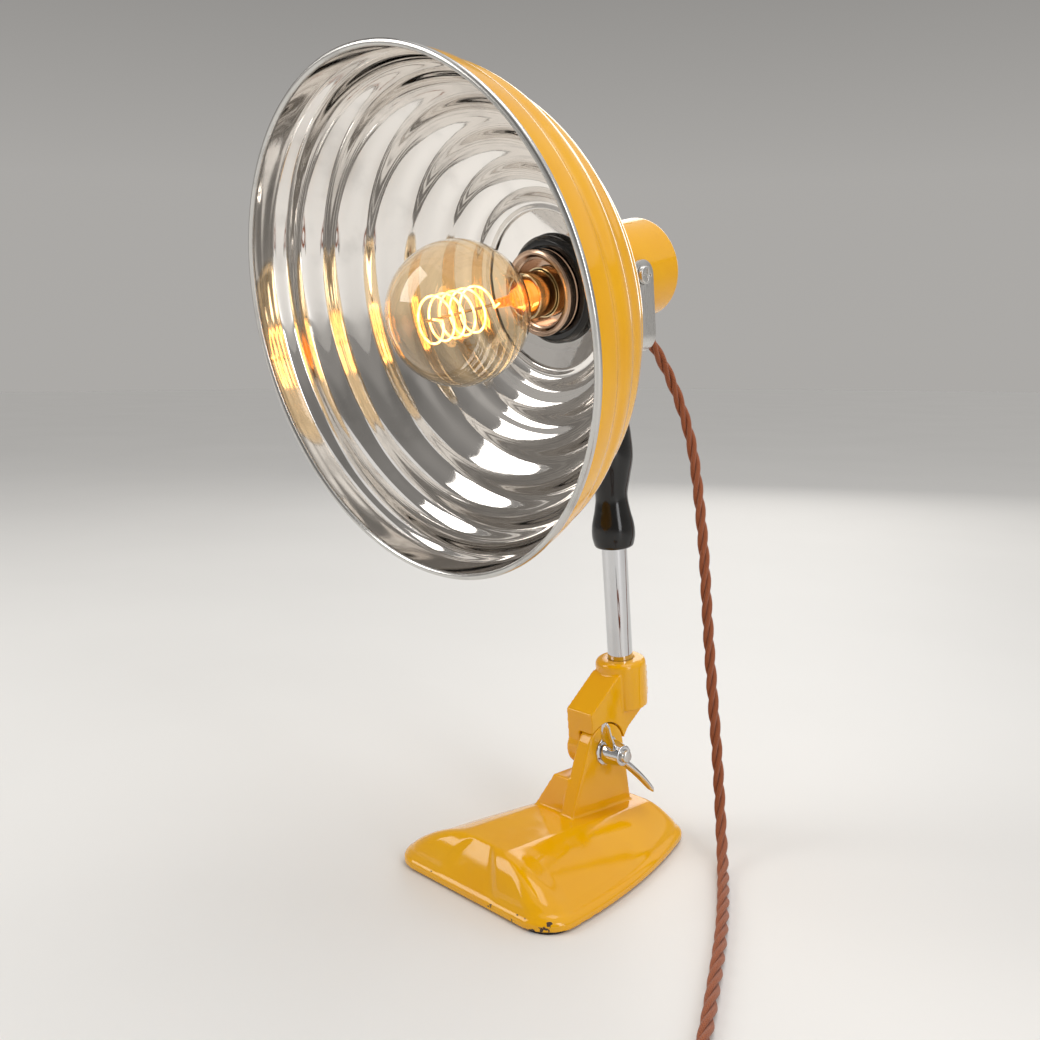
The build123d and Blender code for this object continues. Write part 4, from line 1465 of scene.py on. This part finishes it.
# ---------------------------------------------------------------- cord
@dataclass
class Cord:
    """The twisted fabric-covered lead, from the rear cap to its plug."""

    shop: Workshop
    diameter: float = 0.0075
    strands: int = 3
    pitch: float = 0.047
    strand_radius: float = 0.00178
    split_at: float = 0.085
    turns: int = 4
    per_turn: int = 16
    outer_turn: float = 0.04875
    inner_turn: float = 0.04125
    low_layer: float = 0.0038
    high_layer: float = 0.01125
    tail_angle: float = 226.0
    tail_height: float = 0.01175
    spring: float = 1.012
    crossing: float = 0.28
    spacing: float = 1.5 * MM
    relief_slope: float = 41.0
    plug_radius: float = 0.018
    hanging: tuple = (
        (0.0050, 0.1010, 0.2920),
        (0.0130, 0.1065, 0.2620),
        (0.0220, 0.1035, 0.2280),
        (0.0320, 0.0980, 0.1880),
        (0.0410, 0.0910, 0.1480),
        (0.0510, 0.0850, 0.1000),
        (0.0580, 0.0830, 0.0580),
        (0.0660, 0.0770, 0.0220),
    )
    floor: tuple = (
        (0.0860, 0.0530, 0.0038),
        (0.1090, 0.0220, 0.0038),
        (0.1340, -0.0140, 0.0038),
        (0.1600, -0.0560, 0.0038),
        (0.1850, -0.0970, 0.0038),
        (0.2050, -0.1340, 0.0038),
        (0.2250, -0.1670, 0.0038),
    )

    def exit(self) -> tuple[Vector, Vector]:
        """Finds where the cord leaves its strain relief.

        Returns:
            The place and the direction.
        """
        down = Vector((0.0, math.sin(HEAD_TILT), -math.cos(HEAD_TILT)))
        slope = math.radians(self.relief_slope)
        direction = Vector((0.0, math.cos(slope), -math.sin(slope)))
        seat = HEAD.at(25.0) + down * 27.0 * MM
        return seat + direction * 20.0 * MM, direction

    def route(self) -> tuple[list[Vector], Vector, Vector]:
        """Lays the cord from its strain relief through the coil to the plug.

        Returns:
            The control points, the plug's back and the direction it points in.
        """
        start, direction = self.exit()
        points = [start + direction * 0.3 * MM, start + direction * 18.0 * MM]
        points += [Vector(p) for p in self.hanging + self.floor]
        heading = (points[-1] - points[-2]).normalized()
        side = Vector((-heading.y, heading.x, 0.0))
        centre = Vector((points[-1].x, points[-1].y, 0.0)) + side * self.outer_turn
        begin = math.atan2(-side.y, -side.x)
        leave = math.radians(self.tail_angle) + math.tau * self.turns
        while begin < math.radians(self.tail_angle) - math.pi:
            begin += math.tau
        steps = round((leave - begin) / math.tau * self.per_turn)
        for k in range(1, steps):
            angle = begin + (leave - begin) * k / steps
            points.append(self.turn_point(centre, angle, (angle - begin) / math.tau))
        outward = Vector((math.cos(leave), math.sin(leave), 0.0))
        onward = Vector((-math.sin(leave), math.cos(leave), 0.0))
        tail = centre + outward * self.outer_turn + Vector((0.0, 0.0, self.tail_height))
        bend = tail + onward * 24.0 * MM + outward * 2.0 * MM
        plug = bend + onward * 22.0 * MM - outward * 1.0 * MM
        plug.z = self.plug_radius
        return points + [tail, bend, plug], plug, onward

    def turn_point(self, centre: Vector, angle: float, turned_so_far: float) -> Vector:
        """A point of the coil: outer turn, inner turn, then back out on top of them.

        Args:
            centre: the coil's middle on the floor.
            angle: its place round the coil.
            turned_so_far: turns since the cord met the coil.

        Returns:
            The point.
        """
        wide = (self.outer_turn, self.inner_turn, self.inner_turn, self.outer_turn, self.outer_turn)
        high = (self.low_layer, self.low_layer, self.high_layer, self.high_layer, self.high_layer)
        turn = min(int(turned_so_far), self.turns)
        following = min(turn + 1, self.turns)
        cross = ramped(turned_so_far - turn, 1.0 - self.crossing, self.crossing)
        cross = cross * cross * (3 - 2 * cross)
        radius = (wide[turn] + (wide[following] - wide[turn]) * cross) * self.spring
        height = high[turn] + (high[following] - high[turn]) * cross
        return centre + Vector((radius * math.cos(angle), radius * math.sin(angle), height))

    def centreline(self, points: list[Vector]) -> list[Vector]:
        """Evenly spaced points read from the route's smooth curve.

        Args:
            points: the control points.

        Returns:
            The points.
        """
        curve = bpy.data.curves.new("cord_route", "CURVE")
        curve.dimensions = "3D"
        spline = curve.splines.new("NURBS")
        spline.points.add(len(points) - 1)
        for control, point in zip(spline.points, points):
            control.co = (*point, 1.0)
        spline.order_u = 3
        spline.use_endpoint_u = True
        spline.resolution_u = 24
        holder = new_object("cord_route", curve)
        bpy.context.view_layer.update()
        read = [v.co.copy() for v in evaluated(holder).vertices]
        bpy.data.objects.remove(holder)
        line, due = [read[0]], self.spacing
        for a, b in zip(read, read[1:]):
            gap = (b - a).length
            while gap > 0 and due <= gap:
                line.append(a.lerp(b, due / gap))
                due += self.spacing
            due -= gap
        line.append(read[-1])
        return line

    def rope(self, name: str, line: list[Vector], offset: float, first: Vector) -> bpy.types.Object:
        """The twisted strands along a stretch of the centreline.

        Args:
            name: the piece's name.
            line: the stretch.
            offset: the length of cord before it, which sets the twist.
            first: the sideways direction at its first point.

        Returns:
            The object, with a UV map that follows each strand.
        """
        sides = 10
        reach = self.diameter / 2 - self.strand_radius
        bm = bmesh.new()
        layer = bm.loops.layers.uv.new("strand")
        pairs = frames_along(line, first)
        for strand in range(self.strands):
            rings, travelled, lengths = [], offset, []
            for i, (point, (side, up)) in enumerate(zip(line, pairs)):
                if i:
                    travelled += (point - line[i - 1]).length
                twist = math.tau * (travelled / self.pitch + strand / self.strands)
                centre = point + (side * math.cos(twist) + up * math.sin(twist)) * reach
                spokes = [side * math.cos(a) + up * math.sin(a)
                          for a in (twist + math.tau * k / sides for k in range(sides))]
                rings.append([bm.verts.new(centre + spoke * self.strand_radius) for spoke in spokes])
                lengths.append(travelled)
            for i, (low, high) in enumerate(zip(rings, rings[1:])):
                for k in range(sides):
                    n = (k + 1) % sides
                    face = bm.faces.new([low[k], low[n], high[n], high[k]])
                    corners = ((k, i), (k + 1, i), (k + 1, i + 1), (k, i + 1))
                    for loop, (across, along) in zip(face.loops, corners):
                        loop[layer].uv = (across / sides, lengths[along])
            bm.faces.new(list(reversed(rings[0])))
            bm.faces.new(rings[-1])
        mesh = mesh_of(bm, name)
        smooth(mesh, 70.0)
        return new_object(name, mesh)

    def build(self) -> None:
        points, plug_back, plug_heading = self.route()
        line = self.centreline(points)
        cut = round(self.split_at / self.spacing)
        upper, lower = line[: cut + 1], line[cut:]
        sideways = [pair[0] for pair in frames_along(upper)]
        top = self.rope("cord_upper", upper, 0.0, sideways[0])
        before = sum((b - a).length for a, b in zip(upper, upper[1:]))
        rest = self.rope("cord_lead", lower, before, sideways[-1])
        for piece in (top, rest):
            piece.data.materials.append(self.shop.finishes[Finish.BRAID])
        tuple(upper[0])
        tuple(upper[-1])
        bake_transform(top)
        landing = Vector(self.hanging[-1])
        tuple(lower[0])
        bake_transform(rest)
        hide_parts("cord_hanging", "cord_floor", "cord_coil", "cord_tail")
        plug = self.plug(plug_back, plug_heading)
        long = sum((b - a).length for a, b in zip(lower, lower[1:]))
        tuple(upper[0])
        [tuple(p) for p in upper]
        tuple(lower[0])
        [tuple(p) for p in lower]
        log.info("cord %.3f m above the cut and %.3f m below it", before, long)

    def plug(self, back: Vector, heading: Vector) -> bpy.types.Object:
        """The round plug with a ribbed grip, and its brass pins.

        Args:
            back: where the cord enters it.
            heading: the direction of its pins.

        Returns:
            The plug's body.
        """
        wide = self.plug_radius / MM
        grip = []
        for k in range(4):
            at = 15.5 + 2.0 * k
            swell = 9.4 + (wide - 9.4) * ((at - 14.0) / 10.0)
            grip += [(at, swell, 0.4), (at + 1.0, swell - 0.1, 0.4), (at + 1.4, swell - 0.9, 0.3)]
        profile = rounded([(0.0, 0.0), (0.0, 6.1, 0.8), (6.0, 6.6, 0.5), (7.0, 6.0, 0.4),
                           (8.0, 6.8, 0.5), (14.0, 9.2, 1.0), *grip, (24.0, wide - 0.4, 1.2),
                           (38.0, wide, 1.6), (38.0, 0.0)], 4, False)
        body = turned("plug_shell", AxisFrame(back, heading), profile, 96, False)
        self.shop.fit(body, "base", Finish.PLUG, "plug_body")
        self.shop.dress(Finish.PINS, "plug_pins")
        return body


# ---------------------------------------------------------------- studio
def placed(name: str, data: Any, place: Triple, heading: Any) -> bpy.types.Object:
    """Stands a camera or a light in the scene.

    Args:
        name: its name.
        data: the camera or the light.
        place: where it stands.
        heading: the direction it looks in, or None for straight down.

    Returns:
        The object.
    """
    made = new_object(name, data)
    made.location = place
    if heading is not None:
        made.rotation_euler = Vector(heading).to_track_quat("-Z", "Y").to_euler()
    return made


@dataclass
class Studio:
    """The pale floor, soft lights and camera."""

    floor_radius: float = 9.0
    lens: float = 38.56
    sensor: float = 36.0
    camera_place: Triple = (0.4714, -0.4908, 0.3219)
    camera_heading: Triple = (-0.7145, 0.6833, -0.1503)
    lit_point: Triple = (0.0, -0.03, 0.24)
    daylight_strength: float = 1.0
    sky_strength: float = 0.9
    away: Triple = (0.64, -0.77, 0.0)

    def build(self) -> None:
        """Builds the studio round the lamp."""
        self.camera()
        self.floor()
        self.sky()
        for name, place, size, power, colour in (
            ("key", (-1.05, -1.25, 1.30), (0.9, 1.3), 15.0, (1.0, 0.98, 0.95)),
            ("side", (1.75, -0.30, 0.85), (0.5, 1.5), 11.0, (0.97, 0.98, 1.0)),
            ("over", (0.25, 0.15, 1.75), (1.1, 0.8), 7.0, (1.0, 1.0, 1.0)),
            ("back", (-0.9, 1.5, 0.9), (0.8, 1.0), 6.0, (1.0, 0.97, 0.93)),
        ):
            self.area(name, place, size, power, colour)
        self.daylight()

    def camera(self) -> None:
        """Sets the camera a little above the foot, in front of the lamp on its +X side."""
        data = bpy.data.cameras.new("camera")
        data.lens, data.sensor_width = self.lens, self.sensor
        camera = placed("camera", data, self.camera_place, self.camera_heading)
        bpy.context.scene.camera = camera
        bpy.context.scene.view_settings.view_transform = "Standard"

    def floor(self) -> None:
        """A wide round floor, flush with the foot's underside."""
        bm = bmesh.new()
        bmesh.ops.create_circle(bm, cap_ends=True, segments=96, radius=self.floor_radius)
        mesh = bpy.data.meshes.new("studio_floor")
        bm.to_mesh(mesh)
        bm.free()
        floor = new_object("studio_floor", mesh)
        floor.data.materials.append(PaleFloor().material())

    def sky(self) -> None:
        """Pale light round the horizon that falls off overhead and in front of the lamp."""
        world = bpy.data.worlds.new("studio")
        world.use_nodes = True
        bpy.context.scene.world = world
        sky = Nodes(world.node_tree)
        place = sky.node("ShaderNodeTexCoord", {}, {}, "Generated")
        height = sky.node("ShaderNodeSeparateXYZ", {}, {0: place}, "Z")
        rise = self.ramp(sky, height, ((0.0, 0.46), (0.14, 0.45), (0.30, 0.32), (0.75, 0.24)))
        toward = sky.node("ShaderNodeVectorMath", {"operation": "DOT_PRODUCT"},
                          {0: place, 1: self.away}, "Value")
        shade = self.ramp(sky, toward, ((0.0, 1.0), (0.60, 1.0), (0.92, 0.66), (1.0, 0.62)))
        both = sky.node("ShaderNodeMix", {"data_type": "RGBA", "blend_type": "MULTIPLY"},
                        {0: 1.0, 6: rise, 7: shade}, 2)
        background = world.node_tree.nodes["Background"]
        sky.feed(background.inputs["Color"], both)
        sky.feed(background.inputs["Strength"], self.sky_strength)

    @staticmethod
    def ramp(sky: Nodes, source: Value, stops: tuple[tuple[float, float], ...]) -> Value:
        """Turns a value into a warm grey.

        Args:
            sky: the world's nodes.
            source: the value.
            stops: (place, level) pairs.

        Returns:
            The colour.
        """
        made = sky.node("ShaderNodeValToRGB", {}, {0: source})
        elements = made.socket.node.color_ramp.elements
        while len(elements) < len(stops):
            elements.new(0.5)
        for stop, (at, level) in zip(elements, stops):
            stop.position = at
            stop.color = (*(level * share for share in WARM_GREY), 1.0)
        return made

    def daylight(self) -> None:
        """Adds very soft light from above that keeps the floor even out to the horizon."""
        data = bpy.data.lights.new("daylight", "SUN")
        data.energy, data.angle = self.daylight_strength, math.radians(100.0)
        light = placed("daylight", data, (0.0, 0.0, 0.0), None)
        light.rotation_euler = (math.radians(-18.0), math.radians(14.0), 0.0)

    def area(
        self, name: str, place: Triple, size: tuple[float, float], power: float, colour: Colour
    ) -> None:
        """Adds one soft box, pointed at the lamp.

        Args:
            name: its name.
            place: where it stands.
            size: its width and height.
            power: its power in watts.
            colour: its colour.
        """
        data = bpy.data.lights.new(name, "AREA")
        data.shape = "RECTANGLE"
        data.size, data.size_y = size
        data.energy, data.color = power, colour
        placed(name, data, place, Vector(self.lit_point) - Vector(place))


def make_finishes() -> dict[Finish, bpy.types.Material]:
    """Makes one material for each of the record's slots.

    Returns:
        The materials by finish.
    """
    chosen = {
        Finish.YELLOW: Enamel(),
        Finish.SHELL: Enamel("shell_enamel"),
        Finish.CHROME: Polish("chrome_plate", (0.66, 0.66, 0.67), 0.05, 700.0, 0.000008, stain=0.15),
        Finish.ZINC: Polish("zinc_steel", (0.68, 0.67, 0.65), 0.30, 1400.0, 0.00003, stain=0.5),
        Finish.FIBRE: Moulded("friction_fibre", (0.10, 0.03, 0.015), 0.75),
        Finish.BAKELITE: Moulded("black_bakelite", (0.004, 0.0038, 0.0035), 0.13,
                                 grain_scale=300.0, grain_depth=0.00001),
        Finish.CERAMIC: Moulded("holder_ceramic", (0.72, 0.70, 0.64), 0.22, 0.4),
        Finish.COPPER: Polish("copper_skirt", (0.62, 0.43, 0.31), 0.16, 1500.0, 0.00003, True, 0.4),
        Finish.BRASS: Polish("contact_brass", (0.78, 0.62, 0.38), 0.20, 1500.0, 0.00003, True, 0.4),
        Finish.GLASS: ClearGlass("amber_glass", (0.99, 0.86, 0.68)),
        Finish.HOT_WIRE: HotWire(),
        Finish.WIRE: Polish("support_wire", (0.45, 0.40, 0.35), 0.35, 1800.0),
        Finish.BRAID: Braid(),
        Finish.RUBBER: Moulded("boot_rubber", (0.014, 0.013, 0.012), 0.55, 0.0, 900.0, 0.00006),
        Finish.PLUG: Moulded("plug_plastic", (0.008, 0.008, 0.0075), 0.20, 0.3),
        Finish.PINS: Polish("plug_brass", (0.80, 0.66, 0.40), 0.22, 1500.0),
        Finish.PAD: Moulded("foot_pad", (0.018, 0.016, 0.015), 0.80, 0.0, 700.0, 0.00012),
    }
    return {slot: finish.material() for slot, finish in chosen.items()}


def main() -> None:
    """Builds the studio, then the lamp from its cord to its foot."""
    logging.basicConfig(level=logging.INFO, format="%(name)s: %(message)s")
    Studio().build()
    shop = Workshop(make_finishes())
    for part in (Cord(shop), Head(shop), Stem(shop), Foot(shop)):
        part.build()


if __name__ == "__main__":
    main()
